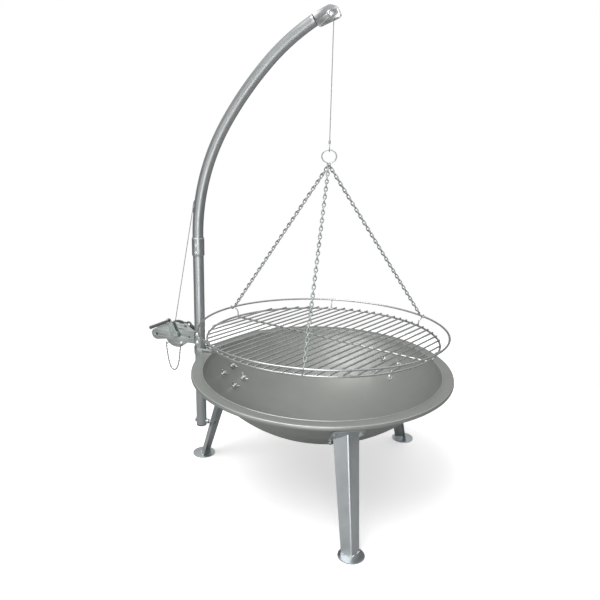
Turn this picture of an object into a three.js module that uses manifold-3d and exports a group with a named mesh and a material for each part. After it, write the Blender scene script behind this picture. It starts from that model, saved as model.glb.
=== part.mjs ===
// Fire bowl with a swing arm: a round cooking grate hangs on three chains from a steel rope, which runs over
// a pulley, through the arm and down to a hand winch on the pole. Millimetres, +Z up, floor at z = 0.
// Everything is drawn about the bowl's vertical axis; the arm lies in the XZ plane and reaches towards +X.
import * as THREE from 'three';
import { mergeVertices } from 'three/addons/utils/BufferGeometryUtils.js';
import Module from 'manifold-3d';

const wasm = await Module();
wasm.setup();

// ---- driving dimensions -----------------------------------------------------------------------------
const axisX = 94.36;                      // bowl axis, so that the whole object is centred on the origin
const gap = 0.3;                          // air left between pieces that touch
const nutGap = 1.4;                       // the same on the faceted inside of the dish
const earGap = 0.8;                       // the same on its outside, and between faceted tubes

const bowl = { rimR: 400, rimZ: 376.7, dishR: 439, depth: 195, creaseR: 366, sheet: 3, lipR: 6, lipDrop: 12 };
const dishZ = bowl.rimZ - 6 - bowl.depth + bowl.dishR;     // centre of the dish's sphere

const leg = { count: 3, footR: 411, lean: 0.29, halfW: 36.5, footHalfW: 25.5, depth: 29, sheet: 3, topZ: 372 };
const ear = { halfW: 47, lowR: 268, highR: 341, sheet: 3 };
const foot = { r: 36.7, thick: 3 };
const legBolt = { across: 36, rows: [323, 284], shankR: 4, holeR: 4.4, headR: 6.5, headH: 5, wing: 15 };

const pole = { x: -418, r: 16.85, wall: 2, bottom: 109, top: 735 };
const poleBoltZ = 121;
const clamp = { low: 362, high: 387, sheet: 2.2, tabZ: 377, boltR: 381 };

const arm = { bottom: 691, socketTop: 743, bendZ: 748, r: 16.85, wall: 2, socketR: 19.4 };
const bends = [{ r: 662.3, to: 58.1 }, { r: 1058.7, to: 46.2 }, { r: 637, to: 31 }];    // degrees above level
const ropeSlot = { low: 826, high: 862, halfW: 4.2 };

const pulley = { x: -11, z: 1390.7, ropeR: 11, r: 15, halfW: 5, bore: 4.35 };
const clevis = { tilt: 25, top: 21, low: -20.5, tip: 26.5, noseR: 23, cornerR: 8.5, back: 42.5, stem: [-2, 10.5],
  inner: 5.6, sheet: 3 };
const rope = { r: 1.25 };
const ferrule = { low: 15.3, high: 27, r: 2.8 };          // heights above the lift ring's top

const winch = { x: -497.5, z: 420, discR: 43, cheekIn: 10.5, cheekOut: 13, low: 397, high: 439 };
const lobe = { u: -72.5, w: -7, r: 19, holeR: 4.5 };
const drum = { ropeR: 17, hubR: 14, flangeR: 27, halfW: 7.4, axleR: 5 };
const axleGap = 0.5;
const crank = { u: -19.5, w: 48.7, y: -22, sheet: 3, halfW: 8 };
const grip = { length: 74, r: 5.5, slope: 204.8, y: -31 };
const lockPin = { u: 17.3, w: -26.7, r: 3 };
const chainRivet = { u: -34, w: -31.6, r: 2.8 };

const liftRing = { r: 20.75, wire: 1.75, z: 1016, turn: 18, squash: 0.87 };    // an oval, wider than high
const grate = { r: 350, wire: 3, bar: 2.5, pitch: 26.6, bars: 25, z: 476.3, turn: 162.5 };
const handle = { r: 376, wire: 3, lift: 26.6, strutAt: [160.5, 222.5, 278.5, 347, 46, 102.5] };   // azimuths
const grateTilt = 2.75;                   // degrees: the front chain is one link shorter than the other two
const frontStrut = -77.5;                 // azimuth of the high edge
const chain = { r: 2.2, apexZ: 995.5 };

// ---- materials --------------------------------------------------------------------------------------
const paint = new THREE.MeshStandardMaterial({ color: 0x8d918d, roughness: 0.5, metalness: 0.6 });
const legPaint = new THREE.MeshStandardMaterial({ color: 0x9aa3a8, roughness: 0.45, metalness: 0.6 });
const polePaint = new THREE.MeshStandardMaterial({ color: 0xa3a8a8, roughness: 0.35, metalness: 0.8 });
const zinc = new THREE.MeshStandardMaterial({ color: 0xb4bab8, roughness: 0.35, metalness: 0.9 });
const chrome = new THREE.MeshStandardMaterial({ color: 0xd2d4d6, roughness: 0.15, metalness: 1 });
const steelRope = new THREE.MeshStandardMaterial({ color: 0xb0b0ae, roughness: 0.4, metalness: 0.9 });
const plastic = new THREE.MeshStandardMaterial({ color: 0x5c605f, roughness: 0.6, metalness: 0 });

// ---- helpers ----------------------------------------------------------------------------------------
const rad = THREE.MathUtils.degToRad;
const at = (x, y, z) => new THREE.Vector3(x, y, z);

function solid(geometry) {
  const g = geometry.clone();
  for (const name of ['normal', 'uv']) g.deleteAttribute(name);
  const merged = mergeVertices(g, 1e-4);
  return new wasm.Manifold(new wasm.Mesh({
    numProp: 3, vertProperties: merged.attributes.position.array, triVerts: merged.index.array,
  }));
}

function geometryOf(body) {
  const mesh = body.getMesh();
  const g = new THREE.BufferGeometry();
  g.setAttribute('position', new THREE.BufferAttribute(mesh.vertProperties, 3));
  g.setIndex(new THREE.BufferAttribute(mesh.triVerts, 1));
  return g;
}

const join = (...parts) => parts.map(solid).reduce((a, b) => a.add(b));
const cut = (body, ...tools) => tools.map(solid).reduce((a, b) => a.subtract(b), body);

const group = new THREE.Group();
group.position.x = axisX;

function add(name, shape, material, parent = group) {
  const geometry = shape.isBufferGeometry ? shape : geometryOf(shape);
  const mesh = new THREE.Mesh(geometry, material);
  mesh.name = name;
  parent.add(mesh);
  return mesh;
}

// a round bar from a to b
function bar(a, b, r, sides = 12) {
  const g = new THREE.CylinderGeometry(r, r, a.distanceTo(b), sides);
  const turn = new THREE.Quaternion().setFromUnitVectors(at(0, 1, 0), b.clone().sub(a).normalize());
  return g.applyQuaternion(turn).translate((a.x + b.x) / 2, (a.y + b.y) / 2, (a.z + b.z) / 2);
}

const barY = (x, z, y0, y1, r, sides = 16) => bar(at(x, y0, z), at(x, y1, z), r, sides);
const box = (x0, x1, y0, y1, z0, z1) => new THREE.BoxGeometry(x1 - x0, y1 - y0, z1 - z0)
  .translate((x0 + x1) / 2, (y0 + y1) / 2, (z0 + z1) / 2);

// a profile of [radius, height] points turned about Z
const lathe = (points, sides) => new THREE.LatheGeometry(points.map(p => new THREE.Vector2(...p)), sides)
  .rotateX(Math.PI / 2);
const sleeve = (rIn, rOut, z0, z1, sides) =>
  lathe([[rIn, z0], [rOut, z0], [rOut, z1], [rIn, z1], [rIn, z0]], sides);
const sleeveY = (x, z, rIn, rOut, y0, y1, sides = 24) => sleeve(rIn, rOut, -y1, -y0, sides)
  .rotateX(Math.PI / 2).translate(x, 0, z);

// a flat outline in the XZ plane, given as [x, z], with its thickness from y0 to y1
function plate(outline, y0, y1) {
  const shape = outline instanceof THREE.Shape ? outline : new THREE.Shape(outline.map(p => new THREE.Vector2(...p)));
  return new THREE.ExtrudeGeometry(shape, { depth: y1 - y0, bevelEnabled: false, curveSegments: 12 })
    .rotateX(Math.PI / 2).translate(0, y1, 0);
}

// a curve given by the points it passes, with its steps where its points are
class Route extends THREE.Curve {
  constructor(points) { super(); this.points = points; }
  getPoint(t) {
    const i = Math.min(Math.floor(t * (this.points.length - 1) + 1e-9), this.points.length - 2);
    return this.points[i].clone().lerp(this.points[i + 1], t * (this.points.length - 1) - i);
  }
  getPointAt(u) { return this.getPoint(u); }
  getTangentAt(u) {
    const d = 0.5 / (this.points.length - 1);
    return this.getPoint(Math.min(1, u + d)).sub(this.getPoint(Math.max(0, u - d))).normalize();
  }
}

const circle = (r, sides) => new THREE.Shape(Array.from({ length: sides },
  (_, i) => new THREE.Vector2(r * Math.cos(2 * Math.PI * i / sides), r * Math.sin(2 * Math.PI * i / sides))));

function tube(points, r, sides = 8, hollowR = 0) {
  const section = circle(r, sides);
  if (hollowR) section.holes.push(new THREE.Path(circle(hollowR, sides).getPoints().reverse()));
  return new THREE.ExtrudeGeometry(section,
    { steps: points.length - 1, extrudePath: new Route(points), bevelEnabled: false });
}

const arc = (cx, cz, r, from, to, steps) => Array.from({ length: steps + 1 }, (_, i) => {
  const a = rad(from + (to - from) * i / steps);
  return at(cx + r * Math.cos(a), 0, cz + r * Math.sin(a));
});

// ---- bowl -------------------------------------------------------------------------------------------
const dishAt = r => dishZ - Math.sqrt(bowl.dishR ** 2 - r ** 2);
const boltSpots = leg => legBolt.rows.flatMap(r => [-1, 1].map(side => ({ r, side, azimuth: leg })));
const legAzimuths = Array.from({ length: leg.count }, (_, i) => 180 + 360 / leg.count * i);
const legNames = ['back', 'front', 'right'];

// the line square to the dish through a leg bolt, from inside (0) outwards
function boltLine({ r, side, azimuth }) {
  const spot = at(Math.sqrt(r ** 2 - legBolt.across ** 2), side * legBolt.across, dishAt(r));
  const out = spot.clone().sub(at(0, 0, dishZ)).normalize();
  const turn = new THREE.Quaternion().setFromAxisAngle(at(0, 0, 1), rad(azimuth));
  return d => spot.clone().addScaledVector(out, d).applyQuaternion(turn);
}

function bowlGeometry() {
  const dish = Array.from({ length: 10 }, (_, i) => {
    const a = i / 9 * Math.asin((bowl.creaseR - 8) / bowl.dishR);
    return [Math.sin(a), -Math.cos(a)];
  });
  const inside = dish.map(([s, c]) => [bowl.dishR * s, dishZ + bowl.dishR * c]);
  const outside = dish.map(([s, c]) => [(bowl.dishR + bowl.sheet) * s, dishZ + (bowl.dishR + bowl.sheet) * c]);
  const flat = bowl.rimZ - bowl.sheet;
  const edge = [30, 90].map(a => rad(a));
  const lip = r => edge.map(a => [bowl.rimR - bowl.lipR + r * Math.sin(a), bowl.rimZ - bowl.lipR + r * Math.cos(a)]);
  const top = [...inside, [bowl.creaseR - 1.5, bowl.rimZ - 2.6], [bowl.creaseR + 3, bowl.rimZ], ...lip(bowl.lipR)];
  const under = [...outside, [bowl.creaseR + 0.5, flat - 2.2], [bowl.creaseR + 4, flat],
    ...lip(bowl.lipR - bowl.sheet)];
  const low = bowl.rimZ - bowl.lipDrop;
  const profile = [...under, [bowl.rimR - bowl.sheet, low], [bowl.rimR, low], ...top.reverse()];
  const holes = legAzimuths.flatMap(boltSpots).map(spot => {
    const line = boltLine(spot);
    return bar(line(-10), line(14), legBolt.holeR, 8);
  });
  holes.push(bar(at(-clamp.boltR, 0, 360), at(-clamp.boltR, 0, 380), legBolt.holeR, 8));
  return cut(solid(lathe(profile, 48)), ...holes);
}
add('bowl', bowlGeometry(), paint);

// ---- legs and feet ----------------------------------------------------------------------------------
// folded V section, its ridge outwards, tapering to the foot; the ears lie on the outside of the dish
function legGeometry(azimuth) {
  const { halfW, depth, sheet } = leg;
  const t = sheet * 1.35;
  const v = new THREE.Shape([[-halfW, -depth / 2], [-halfW + t, -depth / 2], [0, depth / 2 - t],
    [halfW - t, -depth / 2], [halfW, -depth / 2], [2, depth / 2 - 1], [0, depth / 2], [-2, depth / 2 - 1]]
    .map(p => new THREE.Vector2(...p)));
  const rail = new THREE.ExtrudeGeometry(v, { depth: leg.topZ, steps: 8, bevelEnabled: false });
  const p = rail.attributes.position;
  const base = foot.thick + gap;
  for (let i = 0; i < p.count; i++) {
    const z = Math.max(p.getZ(i), base);
    const scale = THREE.MathUtils.lerp(leg.footHalfW / halfW, 1, z / 300);
    p.setXYZ(i, leg.footR - leg.lean * z + p.getY(i) * scale, -p.getX(i) * scale, z);
  }
  const outer = bowl.dishR + bowl.sheet + earGap;
  const ball = r => new THREE.SphereGeometry(r, 80, 50).rotateX(Math.PI / 2).translate(0, 0, dishZ);
  const zone = new THREE.CylinderGeometry(ear.highR, ear.highR, 200, 64).rotateX(Math.PI / 2).translate(0, 0, 300);
  const under = new THREE.CylinderGeometry(ear.lowR, ear.lowR, 240, 64).rotateX(Math.PI / 2).translate(0, 0, 300);
  const ears = solid(ball(outer + ear.sheet)).subtract(solid(ball(outer))).intersect(solid(zone))
    .subtract(solid(under)).intersect(solid(box(0, 500, -ear.halfW, ear.halfW, 100, 380)));
  const body = solid(rail).subtract(solid(ball(outer + 1))).add(ears);
  const turned = geometryOf(body).rotateZ(rad(azimuth));
  const holes = boltSpots(azimuth).map(spot => {
    const line = boltLine(spot);
    return bar(line(0), line(14), legBolt.holeR, 8);
  });
  const relief = boltSpots(azimuth).map(spot => {
    const line = boltLine(spot);
    return bar(line(bowl.sheet + ear.sheet + earGap), line(60), legBolt.headR + 1.5, 8);
  });
  if (azimuth === 180) holes.push(bar(at(-420, 0, poleBoltZ), at(-340, 0, poleBoltZ), legBolt.holeR));
  return cut(solid(turned), ...holes, ...relief);
}

// bolt with its head under the ear and its wing nut inside the bowl, as tightened by hand
function legBoltGeometry(spot, turn) {
  const line = boltLine(spot);
  const seat = bowl.sheet + ear.sheet + earGap + gap;
  const shank = bar(line(-13), line(seat + 1), legBolt.shankR - 0.3, 6);
  const head = bar(line(seat), line(seat + legBolt.headH), legBolt.headR, 6);
  const nut = bar(line(-nutGap - 8), line(-nutGap), 6.5, 6);
  const wings = new THREE.BoxGeometry(2 * legBolt.wing, 11, 2.6).translate(0, -7.5, 0).rotateY(turn);
  const up = new THREE.Quaternion().setFromUnitVectors(at(0, 1, 0), line(1).sub(line(0)).normalize());
  const foot = line(-nutGap - 0.8);
  return join(shank, head, nut, wings.applyQuaternion(up).translate(foot.x, foot.y, foot.z));
}

legAzimuths.forEach((azimuth, n) => {
  add(`leg_${legNames[n]}`, legGeometry(azimuth), legPaint);
  add(`foot_${legNames[n]}`, lathe([[0, 0], [foot.r, 0], [foot.r, foot.thick], [0, foot.thick]], 40)
    .translate(leg.footR, 0, 0).rotateZ(rad(azimuth)), legPaint);
  boltSpots(azimuth).forEach((spot, i) =>
    add(`leg_bolt_${legNames[n]}_${i + 1}`, legBoltGeometry(spot, 0.6 + i * 0.9 + n * 0.5), zinc));
});

// ---- pole -------------------------------------------------------------------------------------------
const winchBoltZ = [-13.5, 13.5].map(d => (winch.low + winch.high) / 2 + d);
const screwZ = [703, 724.5];
const screwAzimuth = 276;
const screwDir = at(Math.cos(rad(screwAzimuth)), Math.sin(rad(screwAzimuth)), 0);
const poleAt = (z, d, dir) => at(pole.x, 0, z).addScaledVector(dir, d);

add('pole', cut(solid(sleeve(pole.r - pole.wall, pole.r, pole.bottom, pole.top, 20).translate(pole.x, 0, 0)),
  ...winchBoltZ.map(z => barY(pole.x, z, -30, 30, 4.3)),
  ...screwZ.map(z => bar(poleAt(z, 5, screwDir), poleAt(z, 30, screwDir), 2.9)),
  bar(at(pole.x - 30, 0, poleBoltZ), at(pole.x + 30, 0, poleBoltZ), legBolt.holeR)), polePaint);

const capIn = pole.r - pole.wall - gap;
add('pole_cap', lathe([[0, pole.bottom - 4], [pole.r, pole.bottom - 4], [pole.r, pole.bottom - gap],
  [capIn, pole.bottom - gap], [capIn, pole.bottom + 5], [0, pole.bottom + 5]], 20).translate(pole.x, 0, 0), plastic);

// bolt through the pole, a spacer and the ridge of the back leg
const ridgeX = -leg.footR + leg.lean * (poleBoltZ - 8) - 12;
add('pole_bolt', join(
  bar(at(pole.x - 20, 0, poleBoltZ), at(-366, 0, poleBoltZ), legBolt.shankR),
  bar(at(pole.x - pole.r - gap - 5, 0, poleBoltZ), at(pole.x - pole.r - gap, 0, poleBoltZ), legBolt.headR),
  bar(at(-377, 0, poleBoltZ), at(-370, 0, poleBoltZ), legBolt.headR, 6)), zinc);
add('pole_spacer', sleeve(legBolt.holeR, 8, pole.x + pole.r + gap, ridgeX - gap, 16)
  .rotateY(Math.PI / 2).translate(0, 0, poleBoltZ), zinc);

// open band round the pole with a tab that lies on the rim
function rimClampGeometry() {
  const inner = pole.r + gap;
  const outer = inner + clamp.sheet;
  const rimX = -bowl.rimR - 0.6;
  const band = solid(sleeve(inner, outer, clamp.low, clamp.high, 32).translate(pole.x, 0, 0))
    .subtract(solid(box(pole.x, -300, -50, 50, 300, 450)));
  const sides = [-1, 1].flatMap(s => {
    const [a, b] = [s * inner, s * outer].sort((m, n) => m - n);
    return [box(pole.x - 1, rimX, a, b, clamp.low, clamp.high),
      box(pole.x - 1, -clamp.boltR + 12, a, b, clamp.tabZ, clamp.high)];
  });
  const tab = box(pole.x + pole.r + gap + 0.05, -clamp.boltR + 12, -outer, outer, clamp.tabZ, clamp.tabZ + 2.2);
  return cut([...sides, tab].map(solid).reduce((a, b) => a.add(b), band),
    bar(at(-clamp.boltR, 0, 370), at(-clamp.boltR, 0, 385), legBolt.holeR));
}
add('rim_clamp', rimClampGeometry(), zinc);
add('rim_clamp_bolt', join(
  bar(at(-clamp.boltR, 0, 367), at(-clamp.boltR, 0, 394), legBolt.shankR),
  bar(at(-clamp.boltR, 0, 368.3), at(-clamp.boltR, 0, 373.3), legBolt.headR),
  bar(at(-clamp.boltR, 0, 379.5), at(-clamp.boltR, 0, 387.5), 6.5),
  new THREE.BoxGeometry(30, 2.6, 11).translate(0, 0, 387).rotateZ(0.9).translate(-clamp.boltR, 0, 0)), zinc);

// ---- arm --------------------------------------------------------------------------------------------
// centre line of the arm: straight up, then three arcs that get flatter towards the tip
function armLine(offset = 0, stepLength = 32) {
  const straight = [arm.bottom, 715, arm.socketTop, arm.bendZ].map(z => at(pole.x - offset, 0, z));
  let angle = 90;
  let x = pole.x;
  let z = arm.bendZ;
  const bent = bends.flatMap(({ r, to }) => {
    const [cx, cz] = [x + r * Math.sin(rad(angle)), z - r * Math.cos(rad(angle))];
    const steps = Math.round(rad(angle - to) * r / stepLength);
    const piece = arc(cx, cz, r + offset, angle + 90, to + 90, steps).slice(1);
    [x, z] = [cx + r * Math.cos(rad(to + 90)), cz + r * Math.sin(rad(to + 90))];
    angle = to;
    return piece;
  });
  return [...straight, ...bent];
}
const armTip = armLine().at(-1);

const slotZ = (ropeSlot.low + ropeSlot.high) / 2;
const leanAt = z => Math.asin((z - arm.bendZ) / bends[0].r);
const wallX = z => pole.x + bends[0].r * (1 - Math.cos(leanAt(z))) - arm.r;   // outer side of the first bend

// the lower end is widened into a socket that slips over the pole
function armGeometry() {
  const g = tube(armLine(), arm.r, 16, arm.r - arm.wall);
  const p = g.attributes.position;
  const wall = arm.socketR - pole.r - earGap;
  for (let i = 0; i < p.count; i++) {
    if (p.getZ(i) > (arm.socketTop + arm.bendZ) / 2) continue;
    const [dx, y] = [p.getX(i) - pole.x, p.getY(i)];
    const d = Math.hypot(dx, y);
    const r = d > arm.r - arm.wall / 2 ? arm.socketR : arm.socketR - wall;
    p.setXYZ(i, pole.x + dx * r / d, y * r / d, p.getZ(i));
  }
  const slot = new THREE.CylinderGeometry(ropeSlot.halfW, ropeSlot.halfW, 10, 16).rotateZ(Math.PI / 2)
    .scale(1, 1, (ropeSlot.high - ropeSlot.low) / 2 / ropeSlot.halfW).translate(wallX(slotZ), 0, slotZ);
  return cut(solid(g), slot, ...screwZ.map(z => bar(poleAt(z, 5, screwDir), poleAt(z, 30, screwDir), 2.9)));
}
add('arm', armGeometry(), polePaint);

screwZ.forEach((z, i) => add(`socket_screw_${i + 1}`, join(
  bar(poleAt(z, 12, screwDir), poleAt(z, arm.socketR + 2, screwDir), 2.5),
  bar(poleAt(z, arm.socketR + gap, screwDir), poleAt(z, arm.socketR + 3, screwDir), 5)), zinc));

const grommet = { r: ropeSlot.halfW + 1.4, wire: 1.2 };
add('rope_grommet', new THREE.TorusGeometry(grommet.r, grommet.wire, 6, 16).rotateY(Math.PI / 2)
  .scale(1, 1, (slotZ - ropeSlot.low) / grommet.r).rotateY(leanAt(slotZ))
  .translate(wallX(slotZ) - grommet.wire - 2 * gap, 0, slotZ), plastic);

// ---- clevis and pulley ------------------------------------------------------------------------------
// two plates, u along the clevis from the pulley bolt, w across it
function clevisGeometry() {
  const { top, low, tip, noseR, cornerR, back, inner, sheet, stem } = clevis;
  const outline = new THREE.Shape();
  outline.moveTo(-back - 24, stem[0]);
  outline.lineTo(-back + 1, stem[0]);
  outline.lineTo(-back + 3.75, low + 2);
  outline.absarc(tip - cornerR, low + cornerR, cornerR, rad(-90), 0, false);
  outline.absarc(tip - noseR, top - noseR, noseR, 0, rad(90), false);
  outline.lineTo(-back - 1, top);
  outline.lineTo(-back, stem[1]);
  outline.lineTo(-back - 24, stem[1]);
  outline.holes.push(new THREE.Path(circle(4.4, 20).getPoints().reverse()));
  const plates = [plate(outline, -inner - sheet, -inner), plate(outline, inner, inner + sheet)];
  const bridge = box(-back - 22, -back - 4, -inner - 1, inner + 1, stem[1] - 3, stem[1]);
  return geometryOf(join(...plates, bridge)).rotateY(-rad(clevis.tilt)).translate(pulley.x, 0, pulley.z);
}
add('clevis', clevisGeometry(), chrome);

const grooveR = pulley.ropeR - rope.r - 0.2;
add('pulley_wheel', lathe([[pulley.bore, -pulley.halfW], [pulley.r, -pulley.halfW], [pulley.r, -3.6],
  [grooveR, -1.4], [grooveR, 1.4], [pulley.r, 3.6], [pulley.r, pulley.halfW], [pulley.bore, pulley.halfW],
  [pulley.bore, -pulley.halfW]], 24).rotateX(Math.PI / 2).translate(pulley.x, 0, pulley.z), chrome);
const plateOut = clevis.inner + clevis.sheet + gap;
add('pulley_bolt', join(barY(pulley.x, pulley.z, -19, plateOut + 1, 4), barY(pulley.x, pulley.z, plateOut,
  plateOut + 4.5, 7.2)), chrome);
add('pulley_nut', sleeveY(pulley.x, pulley.z, 4.9, 7.2, -plateOut - 6.5, -plateOut, 6), chrome);

// ---- rope -------------------------------------------------------------------------------------------
// from the drum's outer side up into the arm, along the inside of its bends and over the pulley
function ropeRunPoints() {
  const hole = at(wallX(ropeSlot.low) - 2 * grommet.wire - rope.r - 1.8, 0, ropeSlot.low);
  const toHole = Math.atan2(hole.z - winch.z, hole.x - winch.x);
  const touch = toHole + Math.acos(drum.ropeR / Math.hypot(hole.x - winch.x, hole.z - winch.z));
  const start = at(winch.x + drum.ropeR * Math.cos(touch), 0, winch.z + drum.ropeR * Math.sin(touch));
  const side = arm.r - arm.wall - rope.r - 1.3;
  const inside = armLine(-side).filter(p => p.z > 1010);
  const leaveAngle = 40;
  const last = bends.at(-1);
  const tipCentre = at(armTip.x + last.r * Math.sin(rad(last.to)), 0, armTip.z - last.r * Math.cos(rad(last.to)));
  const along = inside.filter(p => Math.atan2(p.z - tipCentre.z, p.x - tipCentre.x) > rad(90 + leaveAngle)
    || p.z < 1200);
  return [start, hole, ...along, ...arc(pulley.x, pulley.z, pulley.ropeR, 90 + leaveAngle, 0, 8)];
}
const ropePoints = ropeRunPoints();

add('rope_run', tube(ropePoints, rope.r), steelRope);

// the drop to the grate, its crimped ferrule, and the rope's eye round the lift ring
const ringTop = liftRing.z + liftRing.r * liftRing.squash;
const dropLow = ringTop + ferrule.high + gap;
const dropHigh = pulley.z - gap;
add('rope_drop', tube([0, 0.33, 0.67, 1].map(t => at(0, 0, THREE.MathUtils.lerp(dropLow, dropHigh, t))), rope.r),
  steelRope);
add('rope_crimp', bar(at(0, 0, ringTop + ferrule.low), at(0, 0, ringTop + ferrule.high), ferrule.r), steelRope);
add('rope_eye', new THREE.TorusGeometry(4.4, rope.r, 6, 12).scale(1, 2, 1).rotateX(Math.PI / 2)
  .rotateZ(rad(liftRing.turn + 90)).translate(0, 0, ringTop + 3.7), steelRope);

// ---- winch ------------------------------------------------------------------------------------------
// u runs from the drum's axis towards the bowl, w upwards; the cheeks are two like plates
const W = (u, w) => [winch.x + u, winch.z + w];
const discY = (u, w, r, y0, y1, sides = 24) => barY(...W(u, w), y0, y1, r, sides);

function cheekTools(y0, y1) {
  const neckEnd = pole.x - 10 - winch.x;
  const [low, high] = [winch.low - winch.z, winch.high - winch.z];
  return [
    discY(0, 0, winch.discR, y0, y1, 30),
    discY(lobe.u, lobe.w, lobe.r, y0, y1, 18),
    discY(34, 32, 11, y0, y1, 16),
    plate([W(lobe.u - 2, lobe.w + lobe.r), W(lobe.u, lobe.w - lobe.r), W(-36, -20), W(0, 0), W(-28, 34)], y0, y1),
    plate([W(0, 0), W(20, low), W(neckEnd, low), W(neckEnd, high), W(42, 36), W(20, 40)], y0, y1),
  ];
}

function winchFrameGeometry() {
  const { cheekIn, cheekOut, low, high } = winch;
  const saddle = solid(sleeve(pole.r + gap, pole.r + gap + 2.5, low, high, 32).translate(pole.x, 0, 0))
    .subtract(solid(box(pole.x + 7, -300, -50, 50, 300, 500)));
  const body = [...cheekTools(-cheekOut, -cheekIn), ...cheekTools(cheekIn, cheekOut),
    discY(lobe.u, lobe.w, 7, -cheekIn - 1, cheekIn + 1, 12)]
    .map(solid).reduce((a, b) => a.add(b), saddle);
  const holes = [[lobe.u, lobe.w, lobe.holeR], [chainRivet.u, chainRivet.w, 3.3], [lockPin.u, lockPin.w, 3.4],
    [34, 32, 4], [14.6, 21.7, 3], [46, -3, 3]].map(([u, w, r]) => discY(u, w, r, -30, 30, 10));
  holes.push(discY(0, 0, drum.axleR + axleGap, -30, 30, 12));
  return cut(body, ...holes, ...winchBoltZ.map(z => barY(pole.x, z, -30, 30, 4.3)),
    bar(at(pole.x, 0, low - 20), at(pole.x, 0, high + 20), pole.r + gap, 28));
}
add('winch_frame', winchFrameGeometry(), zinc);

winchBoltZ.forEach((z, i) => {
  const seat = pole.r + 2.5 + 2 * gap;
  add(`winch_bolt_${i + 1}`, join(barY(pole.x, z, -seat - 1, seat + 5, 4), barY(pole.x, z, -seat - 3, -seat, 7),
    barY(pole.x, z, seat, seat + 6.5, 7, 6)), zinc);
});

function drumGeometry() {
  const { hubR, flangeR, halfW, axleR } = drum;
  return geometryOf(join(discY(0, 0, hubR, -halfW - 1, halfW + 1, 24), discY(0, 0, flangeR, -halfW - 2, -halfW, 28),
    discY(0, 0, flangeR, halfW, halfW + 2, 28), discY(0, 0, axleR, crank.y - crank.sheet - 1.5, 16.5, 12)));
}
add('winch_drum', drumGeometry(), zinc);
const woundR = drum.ropeR + 0.9;
add('rope_winding', sleeveY(winch.x, winch.z, drum.hubR + gap, woundR - 2.5, -drum.halfW + gap, drum.halfW - gap, 20),
  steelRope);

// crank arm on the axle, with two ears that hold the folding grip
const gripDir = at(Math.cos(rad(grip.slope)), 0, Math.sin(rad(grip.slope)));
const hingeDir = at(gripDir.z, 0, -gripDir.x);
const gripBase = at(winch.x + crank.u, grip.y, winch.z + crank.w);
const gripAt = (along, side = 0) => gripBase.clone().addScaledVector(gripDir, along).addScaledVector(hingeDir, side);

function crankGeometry() {
  const [y0, y1] = [crank.y - crank.sheet, crank.y];
  const length = Math.hypot(crank.u, crank.w);
  const arm = new THREE.BoxGeometry(length, crank.sheet, 2 * crank.halfW).translate(length / 2, 0, 0)
    .rotateY(-Math.atan2(crank.w, crank.u)).translate(winch.x, (y0 + y1) / 2, winch.z);
  const end = discY(crank.u, crank.w, crank.halfW, y0, y1, 16);
  const ears = [-1, 1].map(s => bar(gripAt(0, s * 3.6), gripAt(0, s * 6), 5));
  const feet = [-1, 1].map(s => {
    const foot = new THREE.BoxGeometry(10, 8, 2.4).rotateY(-Math.atan2(gripDir.z, gripDir.x));
    const c = gripAt(0, s * 4.8);
    return foot.translate(c.x, crank.y - crank.sheet - 3.5, c.z);
  });
  return cut(join(arm, end, discY(0, 0, 11, y0, y1, 16), ...ears, ...feet),
    discY(0, 0, drum.axleR + gap, -60, 30, 12), bar(gripAt(0, -20), gripAt(0, 20), 2.3, 8));
}
add('crank_arm', crankGeometry(), zinc);

function gripGeometry() {
  const { length, r } = grip;
  return cut(join(bar(gripAt(8), gripAt(length), r, 16), bar(gripAt(0, -3.2), gripAt(0, 3.2), 4.6, 16),
    new THREE.BoxGeometry(12, 6, 6).rotateY(-Math.atan2(gripDir.z, gripDir.x))
      .translate(gripAt(5.5).x, grip.y, gripAt(5.5).z)), bar(gripAt(0, -20), gripAt(0, 20), 2.4));
}
add('crank_grip', gripGeometry(), plastic);
add('grip_rivet', join(bar(gripAt(0, -8), gripAt(0, 8), 2), bar(gripAt(0, 6.3), gripAt(0, 8), 3.6),
  bar(gripAt(0, -8), gripAt(0, -6.3), 3.6)), zinc);

add('lock_pin', join(discY(lockPin.u, lockPin.w, lockPin.r, -15, 17), discY(lockPin.u, lockPin.w, 6,
  -winch.cheekOut - 4.2, -winch.cheekOut - gap)), chrome);
add('chain_rivet', join(discY(chainRivet.u, chainRivet.w, chainRivet.r, -14, 14.5),
  discY(chainRivet.u, chainRivet.w, 5, -winch.cheekOut - 3, -winch.cheekOut - gap),
  discY(chainRivet.u, chainRivet.w, 5, winch.cheekOut + gap, winch.cheekOut + 2.5)), zinc);

// retaining chain: a catenary between the rivet and the lock pin, hanging in front of the cheek
function catenary(a, b, slack, steps) {
  const span = b.x - a.x;
  const mid = (a.x + b.x) / 2 - slack * Math.asinh((b.z - a.z) / (2 * slack * Math.sinh(span / 2 / slack)));
  const base = a.z - slack * Math.cosh((a.x - mid) / slack);
  return Array.from({ length: steps + 1 }, (_, i) => {
    const x = a.x + span * i / steps;
    return at(x, a.y, base + slack * Math.cosh((x - mid) / slack));
  });
}
const pinChainY = -winch.cheekOut - 6.4;
const pinChain = catenary(at(W(chainRivet.u, 0)[0], pinChainY, W(0, chainRivet.w - 3)[1]),
  at(W(lockPin.u, 0)[0], pinChainY, W(0, lockPin.w - 9)[1]), 8.15, 24);
add('lock_chain', tube(pinChain, 1.7, 6), zinc);

// ---- hanging gear -----------------------------------------------------------------------------------
add('lift_ring', new THREE.TorusGeometry(liftRing.r, liftRing.wire, 6, 28).rotateX(Math.PI / 2)
  .scale(1, 1, liftRing.squash).rotateZ(rad(liftRing.turn)).translate(0, 0, liftRing.z), zinc);

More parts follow.
